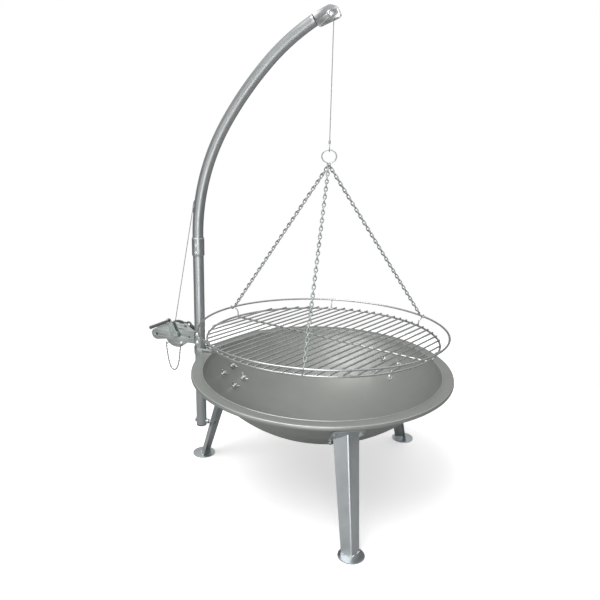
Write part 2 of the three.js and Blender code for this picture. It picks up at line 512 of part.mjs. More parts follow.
// the grate is drawn level about the origin, then tipped with its front edge high
const tip = new THREE.Matrix4().makeTranslation(0, 0, grate.z).multiply(
  new THREE.Matrix4().makeRotationAxis(at(Math.cos(rad(frontStrut - 90)), Math.sin(rad(frontStrut - 90)), 0),
    rad(grateTilt)));
const tipped = shape => shape.applyMatrix4(tip);
const ringOf = (r, wire, z, sides = 48) => new THREE.TorusGeometry(r, wire, 6, sides).translate(0, 0, z);

function grateGeometry() {
  const half = (grate.bars - 1) / 2;
  const barZ = grate.wire + grate.bar - 1.2;
  const bars = Array.from({ length: grate.bars }, (_, i) => {
    const across = (i - half) * grate.pitch;
    const reach = Math.sqrt((grate.r + 1) ** 2 - across ** 2);
    return bar(at(across, -reach, barZ), at(across, reach, barZ), grate.bar, 6);
  });
  const cross = bar(at(-grate.r, 0, 0), at(grate.r, 0, 0), grate.wire, 8);
  const whole = join(ringOf(grate.r, grate.wire, 0), cross, ...bars);
  return tipped(geometryOf(whole).rotateZ(rad(grate.turn)));
}
add('cooking_grate', grateGeometry(), chrome);

function handleGeometry() {
  const struts = handle.strutAt.map(azimuth => {
    const a = rad(azimuth);
    const spot = (r, z) => at(r * Math.cos(a), r * Math.sin(a), z);
    return tube([spot(grate.r + grate.wire + 2.4, -2), spot(grate.r + grate.wire + 2.6, 10),
      spot(grate.r + 10, 20), spot(handle.r - 1, handle.lift)], 2, 6);
  });
  return tipped(geometryOf(join(ringOf(handle.r, handle.wire, handle.lift), ...struts)));
}
add('handle_ring', handleGeometry(), chrome);

// hooks and chains at every second strut
const chainNames = ['back_left', 'front', 'back_right'];
chainNames.forEach((name, n) => {
  const azimuth = rad(handle.strutAt[2 * n]);
  const outward = at(Math.cos(azimuth), Math.sin(azimuth), 0);
  const beside = at(-Math.sin(azimuth), Math.cos(azimuth), 0).multiplyScalar(7);
  const seat = outward.clone().multiplyScalar(handle.r).add(beside).setZ(handle.lift).applyMatrix4(tip);
  const apex = outward.clone().multiplyScalar(4.5).setZ(chain.apexZ);
  const rise = apex.clone().sub(seat).normalize();
  const lean = Math.atan2(rise.z, -Math.hypot(rise.x, rise.y));
  const hookR = handle.wire + gap + 1.9;
  const curl = Array.from({ length: 10 }, (_, i) => {
    const a = lean + rad(290) - rad(200) * i / 9;
    return seat.clone().addScaledVector(outward, hookR * Math.cos(a)).add(at(0, 0, hookR * Math.sin(a)));
  });
  const hookTop = curl.at(-1).clone().addScaledVector(rise, 24);
  add(`chain_hook_${name}`, tube([...curl, hookTop], 1.5), zinc);
  const start = hookTop.clone().addScaledVector(rise, 2);
  add(`chain_${name}`, tube([0, 0.25, 0.5, 0.75, 1].map(t => start.clone().lerp(apex, t)), chain.r), zinc);
});

export default group;
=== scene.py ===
"""Looks of a fire bowl with a swing arm, a hand winch and a hanging grate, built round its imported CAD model.

Lengths are millimetres about the bowl's vertical axis, with the floor at 0. Form.done turns them into metres in
the frame's own coordinates. The arm lies in the XZ plane and reaches towards +X.
"""

import random
from math import acos, asin, asinh, atan2, ceil, cos, cosh, hypot, pi, radians, sin, sinh, sqrt

import bmesh
import bpy
from mathutils import Matrix, Vector


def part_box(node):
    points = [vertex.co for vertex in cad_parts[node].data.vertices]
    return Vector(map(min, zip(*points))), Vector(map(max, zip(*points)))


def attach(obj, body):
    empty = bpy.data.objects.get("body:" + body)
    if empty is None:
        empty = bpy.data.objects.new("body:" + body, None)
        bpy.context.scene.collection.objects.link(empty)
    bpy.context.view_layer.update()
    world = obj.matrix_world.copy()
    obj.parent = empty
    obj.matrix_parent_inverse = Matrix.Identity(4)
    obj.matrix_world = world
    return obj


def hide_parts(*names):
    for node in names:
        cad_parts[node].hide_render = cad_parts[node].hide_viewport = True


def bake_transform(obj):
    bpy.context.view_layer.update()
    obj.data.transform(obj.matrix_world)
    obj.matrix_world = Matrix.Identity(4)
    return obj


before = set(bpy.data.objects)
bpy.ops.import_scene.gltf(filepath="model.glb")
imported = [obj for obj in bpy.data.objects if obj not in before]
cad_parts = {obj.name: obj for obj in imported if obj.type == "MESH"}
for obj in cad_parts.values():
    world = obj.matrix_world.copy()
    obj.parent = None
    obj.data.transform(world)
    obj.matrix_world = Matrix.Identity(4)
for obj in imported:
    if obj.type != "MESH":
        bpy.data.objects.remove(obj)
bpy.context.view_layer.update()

MM = 0.001
AXIS_X = sum(corner.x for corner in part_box("bowl")) / 2
Z_AXIS = Vector((0, 0, 1))
Y_AXIS = Vector((0, 1, 0))
X_AXIS = Vector((1, 0, 0))
UPRIGHT = Matrix.Rotation(radians(90), 4, "X")
random.seed(7)


def span(node):
    """Lowest and highest corner of a CAD node, in millimetres about the bowl's axis."""
    return [Vector((c.x - AXIS_X, c.y, c.z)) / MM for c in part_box(node)]


def put(name, data):
    """A new object in the scene."""
    obj = bpy.data.objects.new(name, data)
    bpy.context.collection.objects.link(obj)
    return obj


# ---- driving dimensions ----
RIM_R = span("bowl")[1].x
RIM_Z = span("bowl")[1].z
DISH_R, DEPTH, CREASE_R, SHEET, HIGHLIGHT_BEAD_R = 439, 195, 366, 3, 1.2
LIP_R, LIP_DROP = 6, 12
DISH_Z = RIM_Z - LIP_R - DEPTH + DISH_R
DISH_CENTRE = Vector((0, 0, DISH_Z))

LEGS = {"back": 180, "front": 300, "right": 60}
FOOT_R, LEAN, LEG_W, LEG_FOOT_W, LEG_DEPTH, LEG_SHEET = 411, 0.29, 36.5, 25.5, 29, 3
LEG_TOP, LEG_FULL_Z = 372.0, 300          # the leg has its full width at LEG_FULL_Z
EAR_W, EAR_LOW, EAR_HIGH, EAR_GAP = 47, 268, 341, 0.8
PAD_R, PAD_THICK = 36.7, 3
BOLT_ACROSS, BOLT_ROWS = 36, (323, 284)
SHANK_R, STUD_R, HEX = 3.9, 3.7, 12.6         # bolts of 8 mm, and the width of their heads across flats

POLE_X = sum(c.x for c in span("pole")) / 2
POLE = Vector((POLE_X, 0, 0))
POLE_LOW, POLE_HIGH = (c.z for c in span("pole"))
TUBE_R, WALL = 16.85, 2
POLE_BOLT_Z, POLE_NUT_X = 121, -377
CLAMP_LOW, CLAMP_HIGH, CLAMP_SHEET, CLAMP_TAB_Z, CLAMP_BOLT_R = 362, 387, 2.2, 377, 381

ARM_LOW, SOCKET_TOP, BEND_Z, SOCKET_R = 691, 743, 748, 19.4
BENDS = ((662.3, 58.1), (1058.7, 46.2), (637, 31))
SLOT_LOW, SLOT_HIGH, SLOT_W = 826, 862, 4.2
SCREW_Z, SCREW_AZIMUTH = (703, 724.5), 276

PULLEY = Vector((-11, 0, 1390.7))
ROPE_WRAP_R, ROPE_R = 11, 1.25
CLEVIS_TILT, CLEVIS_BACK, CLEVIS_IN, CLEVIS_SHEET = 25, 42.5, 5.6, 3
CLEVIS_TOP, CLEVIS_LOW, CLEVIS_TIP, CLEVIS_NOSE_R, CLEVIS_CORNER_R = 21, -20.5, 26.5, 23, 8.5
CLEVIS_STEM = (-2, 10.5)

WINCH = Vector((-497.5, 0, 420))
CHEEK_R, CHEEK_IN, CHEEK_OUT, WINCH_LOW, WINCH_HIGH = 43, 10.5, 13, 397, 439
LOBE_U, LOBE_W, LOBE_R = -72.5, -7, 19
BUMP_U, BUMP_W, BUMP_R = 34, 32, 11
DRUM_HUB, DRUM_FLANGE, DRUM_HALF, DRUM_WRAP_R, AXLE_R = 14, 27, 7.4, 17, 5
CRANK_U, CRANK_W, CRANK_Y, CRANK_SHEET, CRANK_HALF = -19.5, 48.7, -22, 3, 8
GRIP_LENGTH, GRIP_SLOPE, GRIP_Y, GRIP_EAR = 74, 204.8, -31, 4.8
PIN_U, PIN_W, RIVET_U, RIVET_W = 17.3, -26.7, -34, -31.6

RING_R, RING_HIGH, RING_WIRE, RING_Z, RING_TURN = 20.75, 18.05, 1.75, 1016, 18
GRATE_R, GRATE_WIRE, BAR_R, BAR_PITCH, BARS, GRATE_Z, GRATE_TURN = 350, 3, 2.5, 26.6, 25, 476.3, 162.5
HANDLE_R, HANDLE_WIRE, HANDLE_LIFT = 376, 3, 26.6
STRUT_AT = (160.5, 222.5, 278.5, 347, 46, 102.5)
GRATE_TILT, HIGH_EDGE = 2.75, -77.5
CHAIN_TOP_Z, CHAIN_TOP_R = 995.5, 4.5
CHAIN_NAMES = ("back_left", "front", "back_right")


# ---- camera ----
def camera():
    """The photograph's view: position, sight line and picture-right, with a normal lens."""
    data = bpy.data.cameras.new("camera")
    data.sensor_width, data.lens, data.clip_start = 36, 41.294, 0.05
    eye = Vector((568.34, -1895.53, 1178.88)) * MM + Vector((AXIS_X, 0, 0))
    sight = Vector((-0.30893, 0.90748, -0.28468)).normalized()
    right = Vector((0.94425, 0.32847, 0.02236)).normalized()
    up = right.cross(sight).normalized()
    right = sight.cross(up)
    obj = put("camera", data)
    obj.matrix_world = Matrix.Translation(eye) @ Matrix((right, up, -sight)).transposed().to_4x4()
    bpy.context.scene.camera = obj


camera()


# ---- materials ----
def feed(tree, socket, value):
    """Gives a socket a value, or links it to another node's output."""
    if isinstance(value, bpy.types.NodeSocket):
        tree.links.new(value, socket)
    else:
        socket.default_value = value


def node(tree, kind, output, sockets, **settings):
    """Adds a shader node, feeds its sockets and returns one of its outputs."""
    made = tree.nodes.new("ShaderNode" + kind)
    for name, value in settings.items():
        setattr(made, name, value)
    for name, value in sockets.items():
        feed(tree, made.inputs[name], value)
    return made.outputs[output]


SPANGLE_SCALE, RELIEF_DEPTH = 260, 0.0004          # zinc crystals per metre, and the relief's depth in metres


def surface(slot, colour, metallic, roughness, blotch, fleck, peel, spangle=0.0, name=None):
    """A finish: wide blotches and small flecks of colour, rough and smooth patches, and a fine relief.

    blotch and fleck are (scale per metre, share of the colour), peel is (scale, bump strength), and spangle is
    the share of colour that zinc crystals vary.
    """
    mat = bpy.data.materials.new(name or slot)
    mat.use_nodes = True
    mat["slot"] = slot
    tree = mat.node_tree
    shader = tree.nodes["Principled BSDF"].inputs
    place = node(tree, "TexCoord", "Object", {})

    def noise(scale, detail=3.0):
        return node(tree, "TexNoise", "Fac", {"Scale": scale, "Detail": detail, "Vector": place})

    def scaled(value, low, high, start=0.3, end=0.7):
        return node(tree, "MapRange", "Result",
                    {"From Min": start, "From Max": end, "To Min": low, "To Max": high, "Value": value})

    def product(a, b):
        return node(tree, "Math", "Value", {0: a, 1: b}, operation="MULTIPLY")

    shade = product(scaled(noise(blotch[0]), 1 - blotch[1], 1 + blotch[1]),
                    scaled(noise(fleck[0], 2.0), 1 - fleck[1], 1 + fleck[1]))
    if spangle:
        crystals = node(tree, "TexVoronoi", "Color", {"Scale": SPANGLE_SCALE, "Vector": place})
        grey = node(tree, "SeparateColor", "Red", {"Color": crystals})
        shade = product(shade, scaled(grey, 1 - spangle, 1 + spangle, 0.0, 1.0))
    shader["Metallic"].default_value = metallic
    feed(tree, shader["Base Color"],
         node(tree, "VectorMath", "Vector", {0: colour, "Scale": shade}, operation="SCALE"))
    feed(tree, shader["Roughness"], scaled(noise(blotch[0] * 5), roughness * 0.85, roughness * 1.2))
    feed(tree, shader["Normal"], node(tree, "Bump", "Normal", {
        "Strength": peel[1], "Distance": RELIEF_DEPTH, "Height": noise(peel[0], 2.0)}))
    return mat


BOWL_PAINT = surface("bowl_paint", (0.33, 0.345, 0.325), 0.55, 0.40, (5, 0.05), (1500, 0.08), (1300, 0.10))
# A lighter, glossier copy of the bowl paint for thin rings on the crease and the lip: a painted highlight line
# along both bends.
HIGHLIGHT_PAINT = surface("bowl_paint", (0.62, 0.63, 0.61), 0.80, 0.34, (30, 0.08), (900, 0.05), (700, 0.05),
                     name="bowl_painted_highlight")
LEG_PAINT = surface("leg_paint", (0.55, 0.585, 0.60), 0.95, 0.34, (9, 0.06), (1500, 0.06), (1300, 0.08))
POLE_PAINT = surface("pole_paint", (0.50, 0.52, 0.525), 0.90, 0.38, (7, 0.05), (1200, 0.03), (300, 0.02))
ZINC = surface("zinc", (0.50, 0.54, 0.525), 0.95, 0.32, (22, 0.09), (1300, 0.08), (900, 0.12), spangle=0.08)
DARK_ZINC = surface("zinc", (0.22, 0.23, 0.225), 0.90, 0.42, (60, 0.10), (1300, 0.08), (900, 0.12),
                    name="zinc_dull")
POLISHED = surface("zinc", (0.82, 0.84, 0.83), 1.0, 0.20, (40, 0.05), (900, 0.05), (700, 0.05),
                   name="zinc_polished")
PLATING = surface("bright_plating", (0.86, 0.87, 0.88), 1.0, 0.16, (15, 0.04), (800, 0.03), (500, 0.04))
CHROME = surface("grate_chrome", (0.56, 0.57, 0.57), 1.0, 0.26, (14, 0.10), (700, 0.05), (600, 0.05))
ROPE = surface("steel_rope", (0.50, 0.51, 0.50), 0.95, 0.38, (40, 0.10), (2500, 0.10), (2500, 0.10))
PLASTIC = surface("dark_plastic", (0.085, 0.09, 0.088), 0.0, 0.48, (20, 0.10), (2200, 0.14), (1800, 0.25))
WELD = surface("leg_paint", (0.70, 0.71, 0.70), 1.0, 0.24, (120, 0.25), (900, 0.15), (420, 0.8),
               name="weld_bead")


# ---- building forms ----
def perpendicular(direction):
    """A unit vector square to direction."""
    other = Z_AXIS if abs(direction.normalized().z) < 0.9 else Vector((1, 0, 0))
    return direction.cross(other).normalized()


def frames(points, closed=False):
    """Two square directions at each point of a line, carried along it without twisting."""
    count = len(points)
    tangents = []
    for i in range(count):
        before = points[i - 1] if closed or i else points[0]
        after = points[(i + 1) % count] if closed or i < count - 1 else points[-1]
        tangents.append((after - before).normalized())
    side = perpendicular(tangents[0])
    sides = []
    for tangent in tangents:
        side = (side - tangent * side.dot(tangent)).normalized()
        sides.append(side)
    return [(t, s, t.cross(s)) for t, s in zip(tangents, sides)]


def around(count):
    """Angles of even steps round a circle."""
    return [2 * pi * i / count for i in range(count)]


def sector(start, end, steps):
    """Angles in radians from start to end, which are in degrees."""
    return [radians(start + (end - start) * i / steps) for i in range(steps + 1)]


def circle(radius, sides):
    return [(radius * cos(a), radius * sin(a)) for a in around(sides)]


def arc(centre, radius, start, end, steps):
    """Points of an arc in the XZ plane, with its angles in degrees above +X."""
    return [centre + Vector((radius * cos(a), 0, radius * sin(a))) for a in sector(start, end, steps)]


def fillet(corners, radius, steps=3):
    """A line of (radius, height) corners with each inner corner rounded."""
    line = [Vector(corners[0])]
    for before, corner, after in zip(corners, corners[1:], corners[2:]):
        corner = Vector(corner)
        to_before, to_after = Vector(before) - corner, Vector(after) - corner
        reach = min(radius, to_before.length * 0.45, to_after.length * 0.45)
        a, b = corner + to_before.normalized() * reach, corner + to_after.normalized() * reach
        for i in range(steps + 1):
            t = i / steps
            line.append(a * (1 - t) ** 2 + corner * 2 * t * (1 - t) + b * t ** 2)
    return [tuple(p) for p in [*line, Vector(corners[-1])]]


class Form:
    """Points and faces of one piece, in millimetres about the bowl's axis."""

    def __init__(self):
        self.points = []
        self.faces = []

    def skin(self, rings, round_v=False):
        """Covers a row of closed rings, with both ends closed or, with round_v, joined to each other."""
        base, size, count = len(self.points), len(rings[0]), len(rings)
        for ring in rings:
            self.points.extend(Vector(p) for p in ring)
        for i in range(count if round_v else count - 1):
            a, b = base + i * size, base + (i + 1) % count * size
            for j in range(size):
                k = (j + 1) % size
                self.faces.append((a + j, a + k, b + k, b + j))
        if not round_v:
            self.faces.append(tuple(range(base + size - 1, base - 1, -1)))
            self.faces.append(tuple(range(base + (count - 1) * size, base + count * size)))
        return self

    def sweep(self, points, section, closed=False, scale=None, turn=None):
        """Carries a section of (a, b) points along a line. scale and turn give its size and angle at a step."""
        rings = []
        for i, (point, (_, side, other)) in enumerate(zip(points, frames(points, closed))):
            size = scale(i) if scale else 1
            angle = turn(i) if turn else 0
            c, s = cos(angle) * size, sin(angle) * size
            rings.append([point + side * (a * c - b * s) + other * (a * s + b * c) for a, b in section])
        return self.skin(rings, round_v=closed)

    def rod(self, points, radius, sides=16):
        """A round wire or bar along a line, with domed ends."""
        start, end = (points[0] - points[1]).normalized(), (points[-1] - points[-2]).normalized()
        steps = [radians(a) for a in (78, 52, 26)]
        line = [points[0] + start * radius * sin(a) for a in steps] + points \
            + [points[-1] + end * radius * sin(a) for a in reversed(steps)]
        sizes = [cos(a) for a in steps] + [1] * len(points) + [cos(a) for a in reversed(steps)]
        return self.sweep(line, circle(radius, sides), scale=lambda i: sizes[i])

    def loop(self, points, radius, sides=12):
        return self.sweep(points, circle(radius, sides), closed=True)

    def turned(self, profile, origin=Vector(), axis=Z_AXIS, sides=64, closed=False):
        """Turns a profile of (radius, height) about an axis. closed joins the profile's end to its start."""
        axis = axis.normalized()
        side = perpendicular(axis)
        other = axis.cross(side)
        profile = [(r, h) for r, h in profile if closed or r > 1e-6]
        spokes = [side * cos(a) + other * sin(a) for a in around(sides)]
        rings = [[origin + d * r + axis * h for d in spokes] for r, h in profile]
        return self.skin(rings, round_v=closed)

    def nut(self, origin, axis, flats, height, bore=0.0, turn=0.0):
        """A hexagon nut or bolt head with chamfered corners. bore leaves a round hole through it."""
        axis = axis.normalized()
        side = perpendicular(axis)
        other = axis.cross(side)
        inner = flats / 2 * 0.985
        steps = around(48)
        corner = [flats / 2 / cos(a % (pi / 3) - pi / 6) for a in steps]
        drop = [(r - inner) * 0.55 for r in corner]

        def ring(radii, heights):
            return [origin + (side * cos(a + turn) + other * sin(a + turn)) * r + axis * h
                    for a, r, h in zip(steps, radii, heights)]

        rings = [ring([inner] * 48, [0] * 48), ring(corner, drop),
                 ring(corner, [height - d for d in drop]), ring([inner] * 48, [height] * 48)]
        if bore:
            rings = [ring([bore] * 48, [0.4] * 48), ring([bore + 0.5] * 48, [0] * 48), *rings,
                     ring([bore + 0.5] * 48, [height] * 48), ring([bore] * 48, [height - 0.4] * 48)]
        return self.skin(rings, round_v=bool(bore))

    def thread(self, origin, axis, radius, start, end, pitch=1.25):
        """A threaded stud: a bar with a ridge at each turn and a chamfered tip."""
        profile = [(radius * 0.7, start)]
        for i in range(max(1, round(abs(end - start) / pitch))):
            h = start + (i + 0.5) * pitch * (1 if end > start else -1)
            profile += [(radius * 0.86, h - 0.25 * pitch), (radius, h), (radius * 0.86, h + 0.25 * pitch)]
        forward = 1 if end > start else -1
        profile = sorted(profile, key=lambda p: p[1] * forward)
        profile += [(radius * 0.84, end), (radius * 0.6, end + 0.6 * forward)]
        return self.turned(profile, origin, axis, 24)

    def plate(self, outline, holes, thickness, place, edge=0.35):
        """A flat plate with holes and rounded edges. place carries its own XY plane to where it lies."""
        data = bpy.data.curves.new("outline", "CURVE")
        data.dimensions = "2D"
        data.fill_mode = "BOTH"
        data.extrude = thickness / 2 - edge
        data.bevel_depth = edge
        data.bevel_resolution = 2
        data.offset = -edge
        for loop in (outline, *holes):
            spline = data.splines.new("POLY")
            spline.points.add(len(loop) - 1)
            for point, (x, y) in zip(spline.points, loop):
                point.co = (x, y, 0, 1)
            spline.use_cyclic_u = True
        holder = bpy.data.objects.new("outline", data)
        mesh = bpy.data.meshes.new_from_object(holder)
        base = len(self.points)
        self.points.extend(place @ v.co for v in mesh.vertices)
        self.faces.extend(tuple(base + i for i in p.vertices) for p in mesh.polygons)
        bpy.data.objects.remove(holder)
        bpy.data.curves.remove(data)
        bpy.data.meshes.remove(mesh)
        return self

    def blob(self, centre, radius, squash=1.0, rough=0.0):
        """A small weld bead, a little uneven."""
        rings = []
        for height in (-80, -50, -20, 15, 45, 75):
            ring = []
            for a in around(10):
                e = radians(height)
                r = radius * (1 + rough * (random.random() - 0.5))
                ring.append(centre + Vector((r * cos(e) * cos(a), r * cos(e) * sin(a), r * sin(e) * squash)))
            rings.append(ring)
        return self.skin(rings)

    def mesh(self, name, sharp=38.0):
        """The form as a mesh in the frame's metres, with its faces pointing out."""
        mesh = bpy.data.meshes.new(name)
        mesh.from_pydata([(AXIS_X + p.x * MM, p.y * MM, p.z * MM) for p in self.points], [], self.faces)
        work = bmesh.new()
        work.from_mesh(mesh)
        bmesh.ops.remove_doubles(work, verts=work.verts, dist=2e-6)
        bmesh.ops.recalc_face_normals(work, faces=work.faces)
        work.to_mesh(mesh)
        work.free()
        for polygon in mesh.polygons:
            polygon.use_smooth = True
        mesh.set_sharp_from_angle(angle=radians(sharp))
        return mesh

    def piece(self, name, material, sharp=38.0):
        obj = put(name, self.mesh(name, sharp))
        obj.data.materials.append(material)
        return obj

    def done(self, name, body, material, *nodes, sharp=38.0):
        """Makes the piece, which rides on a CAD body and stands for the CAD nodes that it replaces."""
        obj = self.piece(name, material, sharp)
        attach(obj, body)
        if nodes:
            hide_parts(*nodes)


def polar(radius, azimuth, z):
    return Vector((radius * cos(radians(azimuth)), radius * sin(radians(azimuth)), z))


def sleeve(bore, radius, low, high, soft):
    """Closed profile of a ring with rounded corners."""
    corners = [(bore, 0.01), (bore, low), (radius, low), (radius, high), (bore, high), (bore, 0.02)]
    return fillet(corners, soft)[1:]


def washer(form, origin, axis, radius, thick):
    profile = fillet([(SHANK_R, 0), (radius, 0), (radius, thick), (SHANK_R, thick)], 0.3)
    form.turned(profile, origin, axis, 40, closed=True)


def round_plate(u, w, radius, sides=48):
    """A round hole or disc in a flat plate's plane."""
    return [(u + x, w + y) for x, y in circle(radius, sides)]


# ---- bowl ----
def dish_at(radius):
    return DISH_Z - sqrt(DISH_R ** 2 - radius ** 2)


def bowl():
    """A spun dish with a rounded crease, a flat rim and a lip rolled down at its edge, with thin rings of
    painted highlight along the crease and the lip.
    """
    steps = 64
    reach = asin((CREASE_R - 6.5) / DISH_R)
    slopes = [reach * i / steps for i in range(1, steps + 1)]
    inside = [(DISH_R * sin(a), DISH_Z - DISH_R * cos(a)) for a in slopes]
    outer = DISH_R + SHEET
    outside = [(outer * sin(a), DISH_Z - outer * cos(a)) for a in slopes]
    flat_r = RIM_R - LIP_R - 2
    crease = fillet([inside[-1], (CREASE_R - 0.5, RIM_Z - 0.2), (flat_r, RIM_Z)], 6, 8)[1:-1]
    under = fillet([outside[-1], (CREASE_R + 1.5, RIM_Z - SHEET), (flat_r, RIM_Z - SHEET)], 8, 8)[1:-1]
    turns = sector(0, 90, 8)

    def lip(r):
        return [(RIM_R - LIP_R + r * sin(a), RIM_Z - LIP_R + r * cos(a)) for a in turns]

    low = RIM_Z - LIP_DROP
    edge = [(RIM_R - t, low + 0.8 - 0.8 * sin(pi * t / SHEET)) for t in (0, 0.4, 1.0, 2.0, 2.6, SHEET)]
    profile = [*inside, *crease, *lip(LIP_R), *edge, *reversed(lip(LIP_R - SHEET)), *reversed(under),
               *reversed(outside)]
    Form().turned(profile, sides=192).done("bowl_shell", "stand", BOWL_PAINT, "bowl", sharp=60)
    # Thin rings in the lighter, glossier paint on the crease and on the lip: a painted highlight line, added
    # only for its brightness.
    turn = radians(42)
    on_lip = (RIM_R - LIP_R + (LIP_R - 0.5) * sin(turn), RIM_Z - LIP_R + (LIP_R - 0.5) * cos(turn))
    for name, (r, z) in (("crease", (CREASE_R, RIM_Z - 0.5)), ("lip", on_lip)):
        bead = [(r + x, z + y) for x, y in circle(HIGHLIGHT_BEAD_R, 10)]
        Form().turned(bead, sides=192, closed=True).done(f"bowl_{name}_bead", "stand", HIGHLIGHT_PAINT)


# ---- legs ----
def turned_point(point, azimuth):
    return Matrix.Rotation(radians(azimuth), 3, "Z") @ point


def leg_section():
    """Half-open V, ridge outwards: (across, outwards) points, with the ridge and the edges rounded."""
    t = LEG_SHEET * 1.35
    d = LEG_DEPTH / 2
    outer = fillet([(-LEG_W, -d), (0, d + 0.4), (LEG_W, -d)], 7, 8)
    inner = fillet([(LEG_W - t, -d), (0, d - t), (-LEG_W + t, -d)], 4, 6)
    edges = [(LEG_W - t * s, -d - 0.5 * sin(pi * s)) for s in (0.25, 0.5, 0.75)]
    return outer + edges + inner + [(-u, v) for u, v in reversed(edges)]


def leg_rail(form, azimuth):
    """The V runs from the foot up to the dish, where it is cut along the dish's outside."""
    stop = DISH_R + SHEET + EAR_GAP + 0.5
    base = PAD_THICK + 0.3
    rows = 40

    def spot(u, v, z):
        scale = (LEG_FOOT_W + (LEG_W - LEG_FOOT_W) * z / LEG_FULL_Z) / LEG_W
        return Vector((FOOT_R - LEAN * z + v * scale, u * scale, z))

    def top(u, v):
        low, high = 150.0, LEG_TOP
        for _ in range(40):
            mid = (low + high) / 2
            inside = (spot(u, v, mid) - DISH_CENTRE).length < stop
            low, high = (low, mid) if inside else (mid, high)
        return low

    columns = [(u, v, top(u, v)) for u, v in leg_section()]
    rings = [[turned_point(spot(u, v, base + (z - base) * i / rows), azimuth) for u, v, z in columns]
             for i in range(rows + 1)]
    form.skin(rings)


def leg_ears(form, azimuth):
    """A plate with rounded corners that lies on the outside of the dish, either side of the V."""
    inner = DISH_R + SHEET + EAR_GAP
    mid_r, half_r, corner = (EAR_HIGH + EAR_LOW) / 2, (EAR_HIGH - EAR_LOW) / 2, 9
    outline = []
    for cx, cy, start in ((1, 1, 0), (-1, 1, 90), (-1, -1, 180), (1, -1, 270)):
        outline += [(cx * (half_r - corner) + corner * cos(a), cy * (EAR_W - corner) + corner * sin(a))
                    for a in sector(start, start + 90, 6)]

    def shell(radius, shrink):
        """The outline on a sphere about the dish's centre, at a distance along the sphere."""
        row = []
        for along, across in outline:
            r, y = mid_r + along * shrink, across * shrink
            x = sqrt(max(0.0, r * r - y * y))
            row.append(turned_point(Vector((x, y, DISH_Z - sqrt(DISH_R ** 2 - r * r)))
                                    - DISH_CENTRE, azimuth).normalized() * radius)
        return [p + DISH_CENTRE for p in row]

    shrinks = (0.02, 0.25, 0.5, 0.75, 0.9, 0.985)
    edge = [shell(inner + 0.6, 1.0), shell(inner + LEG_SHEET - 0.6, 1.0)]
    form.skin([*(shell(inner, shrink) for shrink in shrinks), *edge,
               *(shell(inner + LEG_SHEET, shrink) for shrink in reversed(shrinks))])


def weld_line(form, points, radius, rough=0.35):
    """A seam of overlapping weld beads."""
    for point in points:
        form.blob(point, radius * (0.85 + 0.3 * random.random()), 0.8, rough)


def bolt_line(row, side, azimuth):
    """Where a leg bolt goes through the dish: its place on the inside, and the direction out."""
    spot = Vector((sqrt(row ** 2 - BOLT_ACROSS ** 2), side * BOLT_ACROSS, dish_at(row)))
    out = (spot - DISH_CENTRE).normalized()
    return turned_point(spot, azimuth), turned_point(out, azimuth)


def wing_nut(form, seat, up, side):
    """A cast wing nut: a waisted hub with two upswept wings. seat is its lower face, up is along the bolt."""
    form.turned(fillet([(0.5, 0), (6.9, 0), (6.3, 3.0), (4.9, 8.6), (4.3, 9.2), (0.5, 9.2)], 0.8), seat, up, 32)
    side = (side - up * side.dot(up)).normalized()
    flat = up.cross(side)
    steps = 12
    for s in (-1, 1):
        rings = []
        for i in range(steps + 1):
            t = i / steps
            point = seat + up * (3.4 + 6.6 * t ** 1.4) + side * s * (3.0 + 12.4 * t)
            end = sqrt(max(0.02, 1 - (max(0, t - 0.75) / 0.255) ** 2))
            height = (3.2 + 2.2 * sin(pi * min(1, t * 0.8))) * end
            thick = 1.9 - 0.6 * t
            rings.append([point + up * height * sin(a) + flat * thick * cos(a)
                          for a in around(16)])
        form.skin(rings)


def leg_bolts(name, azimuth):
    seat_out = SHEET + LEG_SHEET + EAR_GAP + 0.3
    for n, (row, side) in enumerate((r, s) for r in BOLT_ROWS for s in (-1, 1)):
        spot, out = bolt_line(row, side, azimuth)
        turn = (0.15, 0.5, -0.2, 0.35)[n] + list(LEGS).index(name) * 0.7
        form = Form()
        washer(form, spot + out * seat_out, out, 8.2, 1.1)
        form.nut(spot + out * (seat_out + 1.1), out, HEX, 4.4, turn=turn)
        form.turned([(3.4, 0), (3.4, SHEET + LEG_SHEET + 3)], spot - out * 1.2, out, 24)
        washer(form, spot - out * 1.6, -out, 8.2, 1.1)
        wing_nut(form, spot - out * 2.6, -out, Vector((cos(turn), sin(turn), 0)))
        form.thread(spot, -out, STUD_R, 11.4, 14.6)
        form.done(f"wing_bolt_{name}_{n + 1}", "stand", POLISHED, f"leg_bolt_{name}_{n + 1}")


def legs():
    for name, azimuth in LEGS.items():
        form = Form()
        leg_rail(form, azimuth)
        leg_ears(form, azimuth)
        form.done(f"leg_{name}_sheet", "stand", LEG_PAINT, f"leg_{name}", sharp=42)

        pad = fillet([(0.5, 0), (PAD_R, 0), (PAD_R, PAD_THICK), (0.5, PAD_THICK)], 0.7)
        foot = Form().turned(pad, polar(FOOT_R, azimuth, 0), Z_AXIS, 96)
        foot.done(f"foot_{name}_disc", "stand", LEG_PAINT, f"foot_{name}")

        beads = Form()
        scale = LEG_FOOT_W / LEG_W
        for s in (-1, 1):
            line = [(s * LEG_W * (1 - t) * scale, (-LEG_DEPTH / 2 + LEG_DEPTH * t) * scale) for t in
                    (0.04, 0.12, 0.2, 0.28, 0.62, 0.7, 0.78, 0.86, 0.94)]
            weld_line(beads, [turned_point(Vector((FOOT_R + v + 0.6, u + s * 0.8, PAD_THICK + 0.6)), azimuth)
                              for u, v in line], 1.9)
        beads.done(f"foot_{name}_weld", "stand", WELD, sharp=80)
        leg_bolts(name, azimuth)


# ---- pole ----
def tube_profile(low, high, r_out, r_in):
    return fillet([(r_in, low), (r_out, low), (r_out, high), (r_in, high), (r_in, low + 0.01)], 0.5)[1:]


